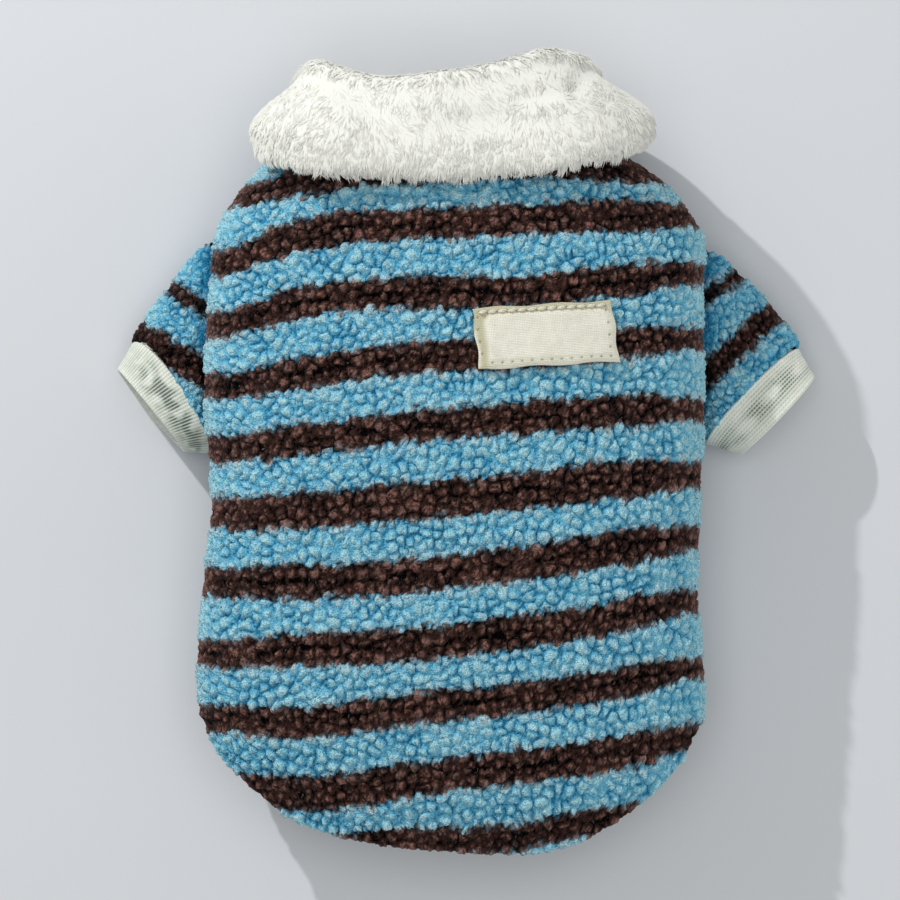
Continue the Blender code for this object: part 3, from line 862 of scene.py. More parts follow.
def add_body_pile(name, first, last, rows, columns, material, parts):
    """A panel's pile, in as many pieces as parts says, side by side."""
    base, normals = body_base(first, last, rows, columns, PILE_ROOT)
    away = armhole_distance(base)
    trim_armholes(base, base.copy())
    base, normals = turned_hem(base, normals, BACKING / 2)
    seam = np.minimum(np.arange(columns), np.arange(columns)[::-1]) / columns
    width = np.linalg.norm(np.diff(base[rows // 2], axis=0), axis=1).sum()
    full = np.broadcast_to(ease(seam * width / 2.2 + 0.12), base.shape[:2]).copy()
    full[:rows] *= ease(away / 2.5 + 0.1)
    turned = np.arange(len(base)) - rows - HEM_ROWS
    full *= np.where(turned > 0, 0.55 * ease(1.05 - turned / TURNED_ROWS), 1.0)[:, None]
    keep = np.concatenate([(away > 0).ravel(), np.ones((len(base) - rows) * columns, bool)])
    points, numbers = pile_points(base, normals, full, body_stripes, COMBED, 1.0)
    faces = grid_faces(len(base), columns)
    faces = faces[keep[faces].any(axis=1)]
    if parts == 1:
        return [mesh_object(name, points, faces, material, numbers)]
    part = faces[:, 0] % columns * parts // columns
    return [
        mesh_object(f"{name}_{k + 1}", points, faces[part == k], material, numbers) for k in range(parts)
    ]


def add_body_backing(name, first, last, rows, columns, material):
    outer, normals = body_base(first, last, rows, columns, PILE_ROOT)
    inner = outer - BACKING * normals
    keep = armhole_distance(outer).ravel() > 0
    reference = outer.copy()
    trim_armholes(outer, reference)
    trim_armholes(inner, reference)
    faces = grid_faces(rows, columns)
    faces = faces[keep[faces].any(axis=1)]
    flat = outer.reshape(-1, 3)
    brown = ease(body_stripes(flat[:, 0], flat[:, 1])[0] / 1.5 + 0.5)
    return wall_object(name, flat, inner.reshape(-1, 3), faces, material, {"brown": brown})


# ---------------------------------------------------------------- sleeves and cuffs


def cuff_end(ends, row):
    return next(end for end in named(CUFF_COLUMNS, ends) if end["side"] == row["side"])


def cuff_ring(end, height, extra, turn):
    """A ring of points across a cuff. Its top leans back to the body and its bottom the other way."""
    outward = unit(np.array([end["outward_x"], end["outward_y"]]))
    back = np.array([-math.copysign(outward[1], end["x"]), abs(outward[0])])
    across = (end["half_width"] + extra) * np.cos(turn)
    lean = end["lean"] * np.sin(turn)
    x = end["x"] + outward[0] * across + back[0] * lean
    y = end["y"] + outward[1] * across + back[1] * lean
    return np.stack([x, y, height + (CUFF_HALF_HEIGHT + extra) * np.sin(turn)], axis=-1)


def sleeve_surface(row, inset, shares, turn):
    """Rings of a sleeve from the armhole to the cuff, at an inset below its outer surface."""
    side = row["sign"]
    root_y = row["hole_y"] + (row["hole_half"] - 0.3 - inset) * np.cos(turn)
    root_z = ARMHOLE_Z + (ARMHOLE_HALF_HEIGHT - 0.3 - inset) * np.sin(turn)
    root = np.stack([side_reach(side, root_y, root_z), root_y, root_z], axis=-1)
    start, finish = cuff_end(CUFF_STARTS, row), cuff_end(CUFF_ENDS, row)
    end = cuff_ring(start, CUFF_START_Z, SLEEVE_PUFF - inset, turn)
    end[:, 0] += start["outward_x"] * SLEEVE_SHIFT
    end[:, 1] += start["outward_y"] * SLEEVE_SHIFT
    way = unit(np.array([finish["x"] - start["x"], finish["y"] - start["y"], 0]))
    reach = np.linalg.norm(end - root, axis=-1, keepdims=True)
    dip = np.clip(np.sin(turn), 0, 1)[:, None] * np.array([0, 0, -SLEEVE_DIP])
    after_root = root + np.maximum(reach * SLEEVE_WAY_OUT, 3.5) * np.array([side, 0, 0]) + dip
    before_end = end - reach * SLEEVE_WAY_IN * way
    bulge = np.array([start["outward_x"], start["outward_y"], 0]) * SLEEVE_SHIFT
    rings = []
    for s in shares:
        if s < 0:
            rings.append(root + np.array([side * FLEECE * s, 0, 0]))
            continue
        rings.append(
            (1 - s) ** 3 * root
            + 3 * s * (1 - s) ** 2 * after_root
            + 3 * s * s * (1 - s) * before_end
            + s**3 * end
            + math.sin(math.pi * s) * bulge
        )
    return np.stack(rings)


def even_turns(count, sign):
    """Angles round a flat tube whose points are evenly spaced."""
    fine = np.linspace(0, 2 * math.pi, 2001)
    ring = np.stack([TUBE_HALF_WIDTH * np.cos(fine), CUFF_HALF_HEIGHT * np.sin(fine)], axis=1)
    return sign * even_places(ring, fine, np.arange(count) / count)


SLEEVE_PILE_END = 0.94  # share of the sleeve's length where its pile turns over towards the cuff
SLEEVE_ROLL = 1.2
SLEEVE_ROLL_TURN = math.radians(110.0)
SLEEVE_ROLL_ROWS = 12
SLEEVE_ROOT_ROWS = 20
SLEEVE_THIN_ROWS = SLEEVE_ROLL_ROWS + 7


def add_sleeve_pile(row, material):
    """Pile that rolls over at the cuff, and thins out there and where the sleeve goes into the armhole."""
    turn = even_turns(300, row["sign"])
    shares = np.concatenate([[-0.5, -0.25], np.linspace(0, SLEEVE_PILE_END, 72)])
    base = sleeve_surface(row, PILE_ROOT, shares, turn)
    normals = grid_normals(base, closed=True)
    down = unit(base[-1] - base[-3])
    roll, facing = edge_roll(base[-1], normals[-1], down, SLEEVE_ROLL, SLEEVE_ROLL_TURN, SLEEVE_ROLL_ROWS)
    base, normals = np.concatenate([base, roll]), np.concatenate([normals, facing])
    full = np.ones(base.shape[:2])
    full[:SLEEVE_ROOT_ROWS] *= ease(np.linspace(0.0, 1.0, SLEEVE_ROOT_ROWS))[:, None] * 0.65 + 0.35
    full[-SLEEVE_THIN_ROWS:] *= np.linspace(1.0, 0.12, SLEEVE_THIN_ROWS)[:, None] ** 0.8
    # Painted shade: the sleeve's pile is coloured darker near its root, where it goes down into the crease at
    # the armhole.
    lit = 0.55 + 0.45 * ease((np.arange(len(base)) - 10) / 20)[:, None]
    points, numbers = pile_points(base, normals, full, lambda x, y: sleeve_stripes(row, x, y), 0.0, lit)
    faces = grid_faces(*base.shape[:2], closed=True)
    return mesh_object(f"sleeve_{row['side']}_pile", points, faces, material, numbers)


def add_sleeve_backing(row, material):
    shares = np.concatenate([[-0.8], np.linspace(0, SLEEVE_PILE_END, 24)])
    turn = even_turns(96, row["sign"])
    outer = sleeve_surface(row, PILE_ROOT, shares, turn).reshape(-1, 3)
    inner = sleeve_surface(row, FLEECE, shares, turn).reshape(-1, 3)
    brown = ease(sleeve_stripes(row, outer[:, 0], outer[:, 1])[0] / 1.5 + 0.5)
    faces = grid_faces(len(shares), len(turn), closed=True)
    return wall_object(f"sleeve_{row['side']}_backing", outer, inner, faces, material, {"brown": brown})


RIBS = 92
RIB_SAMPLES = 4
RIB_RELIEF = 0.55
# How far the rows of stitches show, their height and their shift from rib to rib; how light the cuff's outer
# end is; how many ribs a stretched patch spans; and how narrow the band of such patches is.
KNIT_COLUMNS = ("rows_show", "course", "stagger", "light_end", "patch", "focus")
KNITS = {"left": (0.35, 0.9, math.pi, 0.9, 3.1, 1.0), "right": (0.9, 1.05, 0.0, 0.25, 9.0, 2.4)}
CUFF_ROWS = 56
CUFF_LENGTH = 12.6
CUFF_UNDER = 2.2  # how far the cuff runs on under the fleece
CUFF_TUCK_IN = 2.2  # how much narrower it is there
CUFF_TUCKED = 5.0  # how far its edge is turned back inside
CUFF_WALL = 1.5


def add_cuff(row, material):
    """Rib-knit tube: ribs along it, rows of stitches round it, and its edge turned to the inside."""
    start_ring, end_ring = cuff_end(CUFF_STARTS, row), cuff_end(CUFF_ENDS, row)
    count = RIBS * RIB_SAMPLES
    turn = even_turns(count, row["sign"])
    across = np.arange(count) / RIB_SAMPLES
    rib = np.arange(count) // RIB_SAMPLES
    groove = 0.5 + 0.5 * np.cos(2 * math.pi * across)
    knit = dict(zip(KNIT_COLUMNS, KNITS[row["side"]]))
    darker = 1 - knit["light_end"] * ease(np.cos(turn) * 0.9 - 0.1)
    lengths = np.linspace(-CUFF_UNDER, CUFF_LENGTH, CUFF_ROWS)
    rings, depths = [], []
    for place in lengths:
        s = place / CUFF_LENGTH
        tucked = -CUFF_TUCK_IN * ease(-place / CUFF_UNDER * 2)
        first = cuff_ring(start_ring, CUFF_START_Z, tucked, turn)
        last = cuff_ring(end_ring, CUFF_END_Z, tucked, turn)
        rings.append(first * (1 - s) + last * s)
        course = 0.5 + 0.5 * np.cos(2 * math.pi * place / knit["course"] + knit["stagger"] * (rib % 2))
        stretched = [noise.noise((r / knit["patch"], place / 4.0, row["sign"] * 7.0)) for r in range(RIBS)]
        middle = math.sin(math.pi * min(max(s, 0.04), 0.96)) ** knit["focus"]
        stretched = ease(0.62 + 1.5 * np.array(stretched))[rib] * middle * darker
        # Painted shade: the colour darkens in the grooves between ribs and between rows of stitches, and more
        # in stretched patches where the grooves open; the patches fade towards the cuff's outer end.
        dark = (1 - (1 - groove) * (1 - 0.45 * knit["rows_show"])) * (1 - knit["rows_show"] * (1 - course))
        dark = dark * (0.30 + 0.80 * stretched)
        depths.append(1 - dark - 0.14 * (1 - groove) * (1 - course))
    outer, depths = np.stack(rings), np.clip(np.stack(depths), 0, 1)
    normals = grid_normals(outer, closed=True)
    relief = RIB_RELIEF * (depths - 1) * ease((CUFF_LENGTH - lengths) / 0.8 + 0.1)[:, None]
    end, normal, down = outer[-1], normals[-1], unit(outer[-1] - outer[-3])
    roll, _ = edge_roll(end, normal, down, CUFF_WALL / 2, math.pi, 6)
    inside = [end - normal * CUFF_WALL - down * back for back in np.linspace(0.8, CUFF_TUCKED, 5)]
    points = np.concatenate([outer + normals * relief[..., None], roll, inside])
    plain = np.broadcast_to(0.9 - 0.3 * (1 - depths[-1]), (len(roll) + len(inside), count))
    depth = np.concatenate([depths, plain]).ravel()
    faces = grid_faces(len(points), count, closed=True)
    return mesh_object(f"cuff_{row['side']}_knit", points.reshape(-1, 3), faces, material, {"depth": depth})


# ---------------------------------------------------------------- collar


def collar_size(name, degrees):
    return read_table(COLLAR_SECTIONS, COLLAR_COLUMNS, name, degrees)


def neck_normal(angle):
    step = 0.002
    around = body_point(NECK_Y, angle + step) - body_point(NECK_Y, angle - step)
    return unit(np.array([around[2], 0.0, -around[0]]))


PLUSH_INSET = 1.7  # how far the cloth under the plush lies inside the tips
PLUSH_CLOTH = 1.6
CLOTH_DEPTH = 0.35  # how deep in the plush it counts for its colour
EDGE_BACK = 0.3  # how far its edge stands back, to leave room for the locks that hang over it
ROLL_ROWS = 6  # rows that carry the cloth round its edge, and rows that run back under the fall
UNDER_ROWS = 4
UNDER_STEP = 2.2


# Where the fall swells at each end of the collar: the direction from the neck, how far, at what share of the
# way down, and how far its edge is drawn back in.
SWELL_COLUMNS = ("degrees", "swell", "at", "tuck")
SWELLS = ((180.0, 4.6, 0.62, 3.0), (0.0, 6.0, 0.62, -0.6))
SWELL_SPREAD = 45.0
SWELL_LENGTH = 0.42


def collar_swell(degrees, t):
    """How far the plush stands out from the plain fall at a share of the way down to its edge."""
    total = FALL_CROWN * math.sin(math.pi * t)
    for swell in named(SWELL_COLUMNS, SWELLS):
        weight = bell((degrees - swell["degrees"]) / SWELL_SPREAD)
        shape = bell((t - swell["at"]) / SWELL_LENGTH) * ease(t / 0.3)
        total += weight * (swell["swell"] * shape - swell["tuck"] * ease((t - 0.7) / 0.3))
    return float(total)


def collar_path(angle, steps):
    """The folded band at one angle round the neck: the face that carries plush, from the inside of the neck
    over the fold, down to the edge, round it and back under, as (out from the neck seam, Y) pairs."""
    degrees = math.degrees(angle)
    fold, edge, flare = (float(collar_size(name, degrees)) for name in COLLAR_COLUMNS[1:])
    out = neck_normal(angle)
    reach = np.linspace(edge, NECK_Y, 12)
    body = (body_point(reach, angle) - body_point(NECK_Y, angle)) @ out
    inner = max(float(body.max()) + COLLAR_CLEARANCE, 1.0) + flare
    outer = inner + PLUSH_FALL
    top = 1.0 + PLUSH_FALL
    stand = -PLUSH_STAND + PLUSH_INSET * 0.6
    fall = top - PLUSH_INSET
    middle, half = (fall + stand) / 2, (fall - stand) / 2
    rise = FOLD_DEPTH - PLUSH_INSET * 0.5
    points = [(stand, NECK_Y + 0.3), (stand, (NECK_Y + fold - FOLD_DEPTH) / 2)]
    points += [
        (middle + half * math.cos(a), fold - FOLD_DEPTH + rise * math.sin(a))
        for a in np.linspace(math.pi, 0, 9)
    ]
    low, high = outer - PLUSH_INSET, fold - FOLD_DEPTH
    radius = max((low + collar_swell(degrees, 1.0) - inner - 0.2) / 2, 0.8)
    last = edge + EDGE_BACK + radius
    points += [
        (fall + (low - fall) * t + collar_swell(degrees, t), high + (last - high) * t)
        for t in np.linspace(0.1, 1.0, 10)
    ]
    points = np.array(points)
    even = np.linspace(0, 1, steps)
    path = np.stack([even_places(points, points[:, k], even) for k in (0, 1)], axis=1)
    end, way = path[-1], unit(path[-1] - path[-2])
    turned = np.array([way[1], -way[0]])
    arc = np.linspace(0, math.pi, ROLL_ROWS + 1)[1:, None]
    roll = end + turned * radius * (1 - np.cos(arc)) + way * radius * np.sin(arc)
    under = roll[-1] - way * UNDER_STEP * np.arange(1, UNDER_ROWS + 1)[:, None]
    return np.concatenate([path, roll, under])


# Troughs in the plush, with the columns of the body's folds.
DENTS = (
    (28.0, 122.0, 22.0, 2.8, 2.0, 10.0),
    (39.5, 127.5, 14.0, 3.2, 2.4, 66.0),
    (-34.0, 118.0, 26.0, 5.0, 1.6, -32.0),
    (4.0, 112.0, 34.0, 5.0, 1.2, 4.0),
)


def collar_base(rows, columns):
    """Points of the plush-carrying face and their normals. rows counts those from the inside of the neck to
    the edge, and the rows round the edge and back come on top."""
    first, last = (math.radians(COLLAR_SECTIONS[k][0]) for k in (0, -1))
    angles = even_angles(first, last, columns, NECK_Y)
    points = np.zeros((rows + ROLL_ROWS + UNDER_ROWS, columns, 3))
    for j, angle in enumerate(angles):
        seam, out = body_point(NECK_Y, angle), neck_normal(angle)
        path = collar_path(angle, rows)
        points[:, j, 0] = seam[0] + path[:, 0] * out[0]
        points[:, j, 1] = path[:, 1]
        points[:, j, 2] = seam[2] + path[:, 0] * out[2]
    for _ in range(3):
        points[1:-1] = (points[:-2] + 2 * points[1:-1] + points[2:]) / 4
    normals = grid_normals(points)
    for dent in named(FOLD_COLUMNS, DENTS):
        depth = trough(points[..., 0], points[..., 1], dent, 2) * np.clip(normals[..., 2], 0, 1)
        points -= normals * depth[..., None]
    return points, grid_normals(points)


def add_collar_cloth(material):
    outer, normals = collar_base(38, 144)
    inner = outer - normals * PLUSH_CLOTH
    faces = grid_faces(*outer.shape[:2])
    outer, inner = outer.reshape(-1, 3), inner.reshape(-1, 3)
    depth = np.full(len(outer), CLOTH_DEPTH)
    return wall_object("collar_cloth", outer, inner, faces, material, {"depth": depth})


LOCK_ROWS = 70  # grid that the locks' roots are picked from
LOCK_COLUMNS = 420
LOCK_LENGTH = 4.4
LOCK_WIDTH = 0.42
LOCK_GATHER = (0.14, 0.55)  # how far the tips of a tuft's locks meet, on the face and at the edge
LOCK_LIT_ABOVE = 0.6  # share of the straight-up direction in the locks' shading
TUFT_SPACING = 2.8
INNER_LENGTH = 0.45  # of the locks inside the neck, as a share of the others
LOCK_SIDES = 3
LOCK_SOFTNESS = 0.96  # how far the locks are shaded like the cloth that they stand on
SWIRL_SIZE = 15.0  # distance over which the locks' direction turns, and by how much in radians
SWIRL = 1.2
AT_EDGE = 0.80  # share of the way down where the locks of the edge begin


def near_edge(share):
    return ease((share - AT_EDGE) / 0.15)


def lock_mesh(name, root, middle, tip, way, normal, width, material):
    """Three-sided locks that taper from root to tip. Their shading is mostly the cloth's own."""
    count = len(root)
    side = unit(np.cross(way, normal))
    up = np.cross(side, way)
    soft = unit(normal + LOCK_LIT_ABOVE / (1 - LOCK_LIT_ABOVE) * np.array([0.0, 0.0, 1.0]))
    rings, facing = [], []
    for centre, size in ((root, 1.0), (middle, 0.9)):
        for corner in range(LOCK_SIDES):
            turn = 2 * math.pi * corner / LOCK_SIDES + math.pi / 2
            out = side * math.cos(turn) + up * math.sin(turn)
            rings.append(centre + out * width * 0.5 * size)
            facing.append(out * (1 - LOCK_SOFTNESS) + soft * LOCK_SOFTNESS)
    points = np.stack([*rings, tip], axis=1).reshape(-1, 3)
    shading = np.stack([*facing, soft], axis=1).reshape(-1, 3)
    pattern = []
    for corner in range(LOCK_SIDES):
        after = (corner + 1) % LOCK_SIDES
        pattern.append((after, corner, after + LOCK_SIDES))
        pattern.append((after + LOCK_SIDES, corner, corner + LOCK_SIDES))
        pattern.append((after + LOCK_SIDES, corner + LOCK_SIDES, 2 * LOCK_SIDES))
    pattern.append((0, 1, 2))
    start = np.arange(count)[:, None, None] * (2 * LOCK_SIDES + 1)
    # The locks are coloured from light at the root to darker at the tip, the painted light of the plush ramp.
    along = [0.3] * LOCK_SIDES + [0.7] * LOCK_SIDES + [1.0]
    depth = np.tile(along, count) * np.repeat(random.uniform(0.85, 1.0, count), len(along))
    locks = mesh_object(name, points, (start + np.array(pattern)).reshape(-1, 3), material, {"depth": depth})
    locks.data.normals_split_custom_set_from_vertices(unit(shading).tolist())
    return locks


def add_collar_locks(name, count, rows_from, rows_to, material):
    """Curved, tapering locks of plush, gathered in tufts that lie over towards the collar's edge."""
    base, normals = collar_base(LOCK_ROWS, LOCK_COLUMNS)
    low, high = int(rows_from * (LOCK_ROWS - 1)), int(rows_to * (LOCK_ROWS - 1))
    if rows_to == 1.0:
        high += ROLL_ROWS + 1
    base, normals = base[low : high + 1], normals[low : high + 1]
    weight = point_areas(base).ravel()
    flat, normal = base.reshape(-1, 3), normals.reshape(-1, 3)
    down = unit(np.gradient(base, axis=0).reshape(-1, 3))
    across = np.cross(normal, down)
    tufts = scatter(flat, weight, TUFT_SPACING, 40000)
    tree = tree_of(flat[tufts])
    share = (low + np.arange(len(flat)) // LOCK_COLUMNS) / (LOCK_ROWS - 1)
    weight = weight * (1 + ease((share - 0.86) / 0.06))
    picked = random.choice(len(flat), size=count, p=weight / weight.sum())
    spread = random.uniform(-0.45, 0.45, (count, 2))
    root = flat[picked] + down[picked] * spread[:, :1] + across[picked] * spread[:, 1:]
    owner = np.array([tree.find(p)[1] for p in root.tolist()])
    swirl = soft_noise(flat[tufts], SWIRL_SIZE) * SWIRL + random.normal(0, 0.3, len(tufts))
    swirl *= 1 - 0.7 * near_edge(share[tufts])
    lift = random.uniform(0.0, 0.07, len(tufts))
    tuft_length = random.uniform(0.6, 1.4, len(tufts))
    n, share = normal[picked], share[picked]
    angle = (swirl[owner] + random.normal(0, 0.32, count))[:, None]
    lean = down[picked] * np.cos(angle) + across[picked] * np.sin(angle)
    rise = (lift[owner] + random.normal(0, 0.04, count))[:, None]
    length = INNER_LENGTH + (1 - INNER_LENGTH) * ease((share - 0.30) / 0.16)
    length = LOCK_LENGTH * random.uniform(0.6, 1.2, count) * length
    length = (length * (1 + (tuft_length[owner] - 1) * near_edge(share)))[:, None]
    gather = (LOCK_GATHER[0] + (LOCK_GATHER[1] - LOCK_GATHER[0]) * near_edge(share))[:, None]
    way = unit(n * rise + lean * (1 - rise * 0.4))
    shared = down[tufts] * np.cos(swirl)[:, None] + across[tufts] * np.sin(swirl)[:, None]
    shared = shared + normal[tufts] * lift[:, None]
    meet = flat[tufts] + shared * (LOCK_LENGTH * 0.85 * tuft_length)[:, None] + normal[tufts] * 0.4
    middle = root + way * length * 0.5
    bend = way * 0.8 + lean * 0.35 - n * 0.14
    tip = middle + bend * length * 0.5 + random.normal(0, 0.22, (count, 3))
    middle = middle + (meet[owner] - tip) * gather * 0.4
    tip = tip + (meet[owner] - tip) * gather
    width = (LOCK_WIDTH * random.uniform(0.7, 1.3, count))[:, None]
    return lock_mesh(name, root - n * 0.5, middle, tip, way, n, width, material)


# ---------------------------------------------------------------- label


def label_frame(u, v):
    """Place and normal on the back for a place on the label, from its middle, in millimetres."""
    u = u - LABEL_SHEAR * (v + LABEL_SIZE[1] / 2)
    v = v * LABEL_DRAW
    x = LABEL_CENTRE[0] + u * math.cos(LABEL_TURN) - v * math.sin(LABEL_TURN)
    y = LABEL_CENTRE[1] + u * math.sin(LABEL_TURN) + v * math.cos(LABEL_TURN)
    step = 0.1
    slope_x = (back_height(x + step, y) - back_height(x - step, y)) / (2 * step)
    slope_y = (back_height(x, y + step) - back_height(x, y - step)) / (2 * step)
    normal = unit(np.stack([-slope_x, -slope_y, np.ones_like(slope_x)], axis=-1))
    return np.stack([x, y, back_height(x, y)], axis=-1), normal


LABEL_HOLE_PITCH = 3.3  # from one needle hole to the next, and so also the length of a stitch
LABEL_HOLE_RADIUS = 0.36
LABEL_HOLE_DEPTH = 0.4
LABEL_SEAM_TOP = 1.5  # how far inside the tape's edges the rows of stitches run
LABEL_SEAM_BOTTOM = 2.1
LABEL_SEAM_RIGHT = 2.4
LABEL_SEAM_LEFT = 1.3


def label_pull_and_shade(u, v):
    """How much the tape is pulled down along its seams, and how much painted shade darkens it there: most at
    the top and the left.
    """
    top, bottom, left, right = HALF_V - v, HALF_V + v, HALF_U + u, HALF_U - u
    bands = (
        0.74 * (1 - ease((top - 1.9) / 1.2)),
        0.80 * (1 - ease((left - 2.4) / 2.2)) * ease(left / 1.6),
        0.80 * (1 - ease((left + top * 0.9 - 6.8) / 2.4)),
        0.55 * (1 - ease((right * 0.8 + top - 4.6) / 1.4)),
        0.22 * (1 - ease((bottom - 2.6) / 0.9)),
        0.12 * (1 - ease((right - 2.0) / 0.8)),
    )
    return np.maximum.reduce(np.broadcast_arrays(*bands))


def label_rise(u, v):
    """How far the tape stands off the fleece: puffed in the middle, waving, and pulled down at its seams."""
    rise = 1.1 + 0.3 * np.sin(u * 0.36 + 0.8) * np.cos(v * 0.21)
    rise += 0.5 * bell((u + HALF_U - 5.2) / 1.6) * np.cos(v * 0.1)
    rise *= 1 - 0.75 * label_pull_and_shade(u, v)
    edge = np.minimum(HALF_V - np.abs(v), HALF_U - np.abs(u))
    return rise * (0.4 + 0.6 * ease(edge / 1.6))


def label_holes():
    """Places of the needle holes that show: along the bottom and both ends, and between the stitches."""
    between = np.arange(3.4 - HALF_U - LABEL_HOLE_PITCH / 2, HALF_U - 1.0, LABEL_HOLE_PITCH)
    holes = [(u, LABEL_SEAM_BOTTOM - HALF_V) for u in np.arange(4.6 - HALF_U, HALF_U - 2, LABEL_HOLE_PITCH)]
    for v in np.arange(LABEL_SEAM_BOTTOM + LABEL_HOLE_PITCH - HALF_V, HALF_V - 3, LABEL_HOLE_PITCH * 1.3):
        holes += [(HALF_U - LABEL_SEAM_RIGHT, v), (LABEL_SEAM_LEFT - HALF_U, v)]
    return holes + [(u, HALF_V - LABEL_SEAM_TOP) for u in between]


def add_label(material, thread):
    rows, columns = 52, 114
    u = np.linspace(-0.5, 0.5, columns)[None, :] * LABEL_SIZE[0] * np.ones((rows, 1))
    v = np.linspace(0.5, -0.5, rows)[:, None] * LABEL_SIZE[1] * np.ones((1, columns))
    hole = np.zeros(u.shape)
    for hole_u, hole_v in label_holes():
        hole = np.maximum(hole, bell(np.hypot(u - hole_u, v - hole_v) / LABEL_HOLE_RADIUS))
    seam_shade, rise = label_pull_and_shade(u, v), label_rise(u, v)
    u = u + 0.35 * np.sin(v * 0.5 + 0.6) * np.sign(u) * (np.abs(u) / LABEL_SIZE[0] * 2) ** 6
    v = v + 0.3 * np.sin(u * 0.31) * np.sign(v) * (np.abs(v) / LABEL_SIZE[1] * 2) ** 6
    place, normal = label_frame(u, v)
    inner = place + normal * (LABEL_LIFT + rise - LABEL_HOLE_DEPTH * hole)[..., None]
    outer = inner + normal * LABEL_WALL
    numbers = {"shade": seam_shade.ravel(), "hole": hole.ravel()}
    faces = grid_faces(rows, columns)[:, ::-1]
    tape = wall_object("label_tape", outer.reshape(-1, 3), inner.reshape(-1, 3), faces, material, numbers)
    return tape, add_label_stitches(thread)


STITCH_LENGTH = 3.4
STITCH_RADIUS = 0.36
STITCH_SIDES = 6
STITCH_RINGS = 11
PLIES = 2


def add_label_stitches(material):
    """The row of thick stitches along the label's top, each a length of two-ply twisted thread."""
    along_t = np.linspace(-1, 1, STITCH_RINGS)
    sides = np.linspace(0, 2 * math.pi, STITCH_SIDES, endpoint=False)
    points, faces = [], []
    for middle in np.arange(3.4 - HALF_U, HALF_U - 2.0, LABEL_HOLE_PITCH):
        slant = random.normal(0.20, 0.04)
        for ply in range(PLIES):
            for t in along_t:
                u = middle + t * STITCH_LENGTH / 2 * math.cos(slant)
                v = HALF_V - LABEL_SEAM_TOP + t * STITCH_LENGTH / 2 * math.sin(slant)
                centre, normal = label_frame(np.array(u), np.array(v))
                cross = np.cross(normal, (math.cos(slant + LABEL_TURN), math.sin(slant + LABEL_TURN), 0))
                twist = 2 * math.pi * ply / PLIES + 2.4 * t
                lift = LABEL_LIFT + LABEL_WALL + float(label_rise(u, v)) + STITCH_RADIUS * (1.6 - 2.2 * t**4)
                centre = centre + normal * lift
                centre = centre + (cross * math.cos(twist) + normal * math.sin(twist)) * STITCH_RADIUS * 0.75
                size = STITCH_RADIUS * math.sqrt(max(1 - 0.9 * t**4, 0.05))
                points += [centre + (cross * math.cos(a) + normal * math.sin(a)) * size for a in sides]
            first = len(points) - STITCH_RINGS * STITCH_SIDES
            faces.append(grid_faces(STITCH_RINGS, STITCH_SIDES, closed=True)[:, ::-1] + first)
    return mesh_object("label_stitches", np.array(points), np.concatenate(faces), material)


# ---------------------------------------------------------------- studio

PIXEL = 0.345  # millimetres of the coat that one pixel of the 900-pixel frame shows
CENTRE_PIXEL = (465.5, 453.5)  # where the frame's origin is in the photograph
IMAGE = 900
CAMERA_HEIGHT = 1.6
OUTLINE_HEIGHT = 0.034  # height of the coat's widest line
KEY_DEGREES = -53.0  # direction in plan that the key light shines, from +X
KEY_ELEVATION = math.radians(31.0)
KEY_DISTANCE = 1.35
KEY_SIZE = 0.03
KEY_POWER = 9.5
OVERHEAD_SIZE = 1.6
OVERHEAD_HEIGHT = 2.1
OVERHEAD_POWER = 15.2
FILL_DEGREES = 160.0  # a wide reflector on the right, low down
FILL_ELEVATION = math.radians(11.0)
FILL_DISTANCE = 1.6
FILL_SIZE = 0.6
FILL_POWER = 5.4
SKY = (0.312, 0.317, 0.314)
FLOOR_REACH = 3.0
FLOOR_DROP = 0.0002


def add_to_scene(name, data):
    thing = bpy.data.objects.new(name, data)
    bpy.context.scene.collection.objects.link(thing)
    return thing


def add_camera():
    camera = add_to_scene("camera", bpy.data.cameras.new("camera"))
    camera.data.sensor_width = 36.0
    camera.data.lens = camera.data.sensor_width * (CAMERA_HEIGHT - OUTLINE_HEIGHT) / (PIXEL * IMAGE * MM)
    x = (IMAGE / 2 - CENTRE_PIXEL[0]) * PIXEL * MM
    y = (CENTRE_PIXEL[1] - IMAGE / 2) * PIXEL * MM
    camera.location = (x, y, CAMERA_HEIGHT)
    camera.rotation_euler = (0.0, 0.0, 0.0)
    bpy.context.scene.camera = camera


def light_way(degrees, elevation):
    """Unit direction that a light shines, from its direction in plan and its height above the floor."""
    turn, level = math.radians(degrees), math.cos(elevation)
    return Vector((level * math.cos(turn), level * math.sin(turn), -math.sin(elevation)))


def add_light(name, shape, size, power, way, distance):
    """An area light that shines towards the origin from a distance."""
    light = bpy.data.lights.new(name, "AREA")
    light.shape = shape
    light.size = size
    light.energy = power
    lamp = add_to_scene(name, light)
    lamp.location = -way * distance
    lamp.rotation_euler = way.to_track_quat("-Z", "Y").to_euler()


def add_studio():
    reach = FLOOR_REACH
    mesh = bpy.data.meshes.new("floor")
    corners = [(-reach, -reach, 0), (reach, -reach, 0), (reach, reach, 0), (-reach, reach, 0)]
    mesh.from_pydata(corners, [], [(0, 1, 2, 3)])
    floor = add_to_scene("floor", mesh)
    floor.data.materials.append(Finish("studio_floor").material)
    floor.location.z = -FLOOR_DROP
    key, fill = light_way(KEY_DEGREES, KEY_ELEVATION), light_way(FILL_DEGREES, FILL_ELEVATION)
    add_light("key", "DISK", KEY_SIZE, KEY_POWER, key, KEY_DISTANCE)
    add_light("fill", "DISK", FILL_SIZE, FILL_POWER, fill, FILL_DISTANCE)
    below = Vector((0.0, 0.0, -1.0))
    add_light("overhead", "SQUARE", OVERHEAD_SIZE, OVERHEAD_POWER, below, OVERHEAD_HEIGHT)
    world = bpy.data.worlds.new("studio")
    bpy.context.scene.world = world
    world.use_nodes = True
    world.node_tree.nodes["Background"].inputs["Color"].default_value = (*SKY, 1.0)
    world.node_tree.nodes["Background"].inputs["Strength"].default_value = 1.0
    bpy.context.scene.view_settings.view_transform = "Standard"


# ---------------------------------------------------------------- the coat

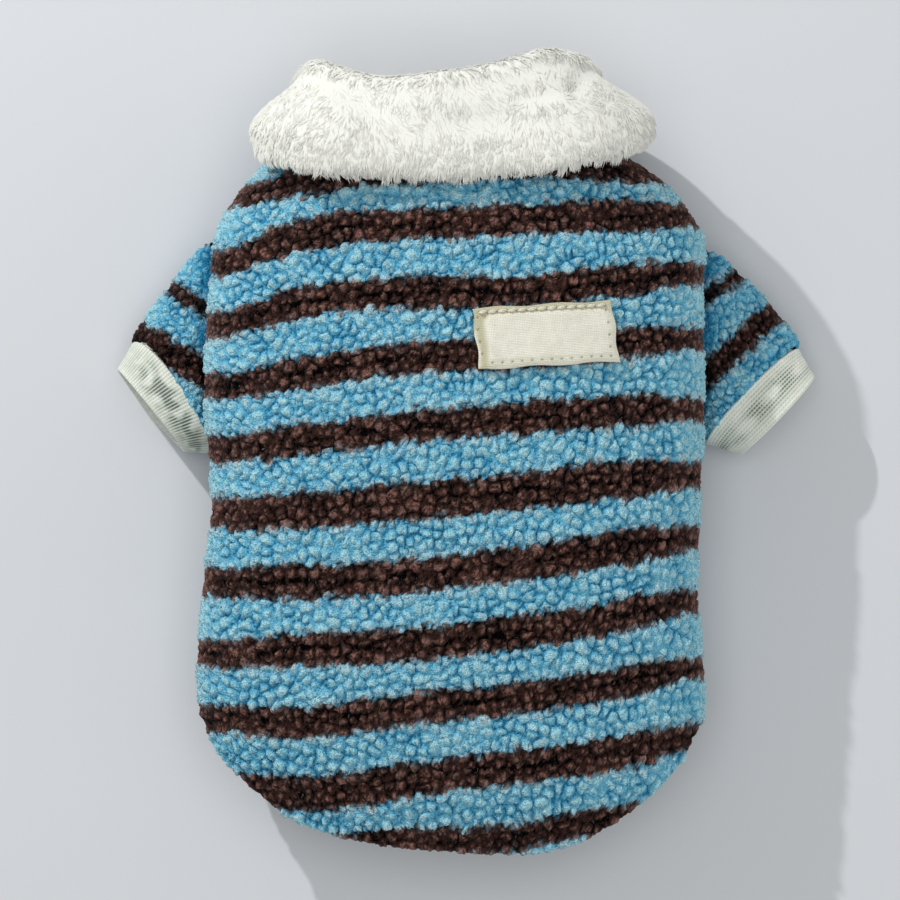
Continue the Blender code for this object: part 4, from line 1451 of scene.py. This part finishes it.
# The angles round the body that each panel spans, and its rows and columns of points.
BACK = (-SIDE_SEAM, math.pi + SIDE_SEAM)
BELLY = (math.pi + SIDE_SEAM, 2 * math.pi - SIDE_SEAM)
BACK_GRID = (64, 78)
BACK_PILE_GRID = (404, 534)
BACK_PARTS = 3
BELLY_GRID = (50, 50)
BELLY_PILE_GRID = (142, 128)
FALL_LOCKS = 19200  # locks on the fall and on the stand, and their rows as shares of the way to the edge
FALL_ROWS = (0.34, 1.0)
STAND_LOCKS = 3300
STAND_ROWS = (0.04, 0.35)


def place(piece, slot, *nodes):
    """A piece rides on the one body and may stand for solids, whose parts it hides. The slot is not used."""
    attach(piece, "root")
    if nodes:
        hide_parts(*nodes)


def main():
    add_camera()
    add_studio()
    fleece, backing, plush = fleece_material(), backing_material(), plush_material()

    back = add_body_backing("back_backing", *BACK, *BACK_GRID, backing)
    back_pile = add_body_pile("back_pile", *BACK, *BACK_PILE_GRID, fleece, BACK_PARTS)
    place(back, "striped_fleece", "back_panel")
    for piece in back_pile:
        place(piece, "striped_fleece")

    belly = add_body_backing("belly_backing", *BELLY, *BELLY_GRID, backing)
    belly_pile = add_body_pile("belly_pile", *BELLY, *BELLY_PILE_GRID, fleece, 1)
    place(belly, "striped_fleece", "belly_panel")
    place(belly_pile[0], "striped_fleece")

    rib = rib_material()
    for row in named(SLEEVE_COLUMNS, SLEEVES):
        side = row["side"]
        pile, shell = add_sleeve_pile(row, fleece), add_sleeve_backing(row, backing)
        place(shell, "striped_fleece", f"sleeve_{side}")
        place(pile, "striped_fleece")
        cuff = add_cuff(row, rib)
        place(cuff, "cream_rib", f"cuff_{side}")

    collar = add_collar_cloth(plush)
    locks = [
        add_collar_locks("collar_locks_fall", FALL_LOCKS, *FALL_ROWS, plush),
        add_collar_locks("collar_locks_stand", STAND_LOCKS, *STAND_ROWS, plush),
    ]
    place(collar, "white_plush", "collar")
    for piece in locks:
        place(piece, "white_plush")

    tape, stitches = add_label(label_material(), thread_material())
    place(tape, "label_tape", "label_patch")
    place(stitches, "label_tape")


main()
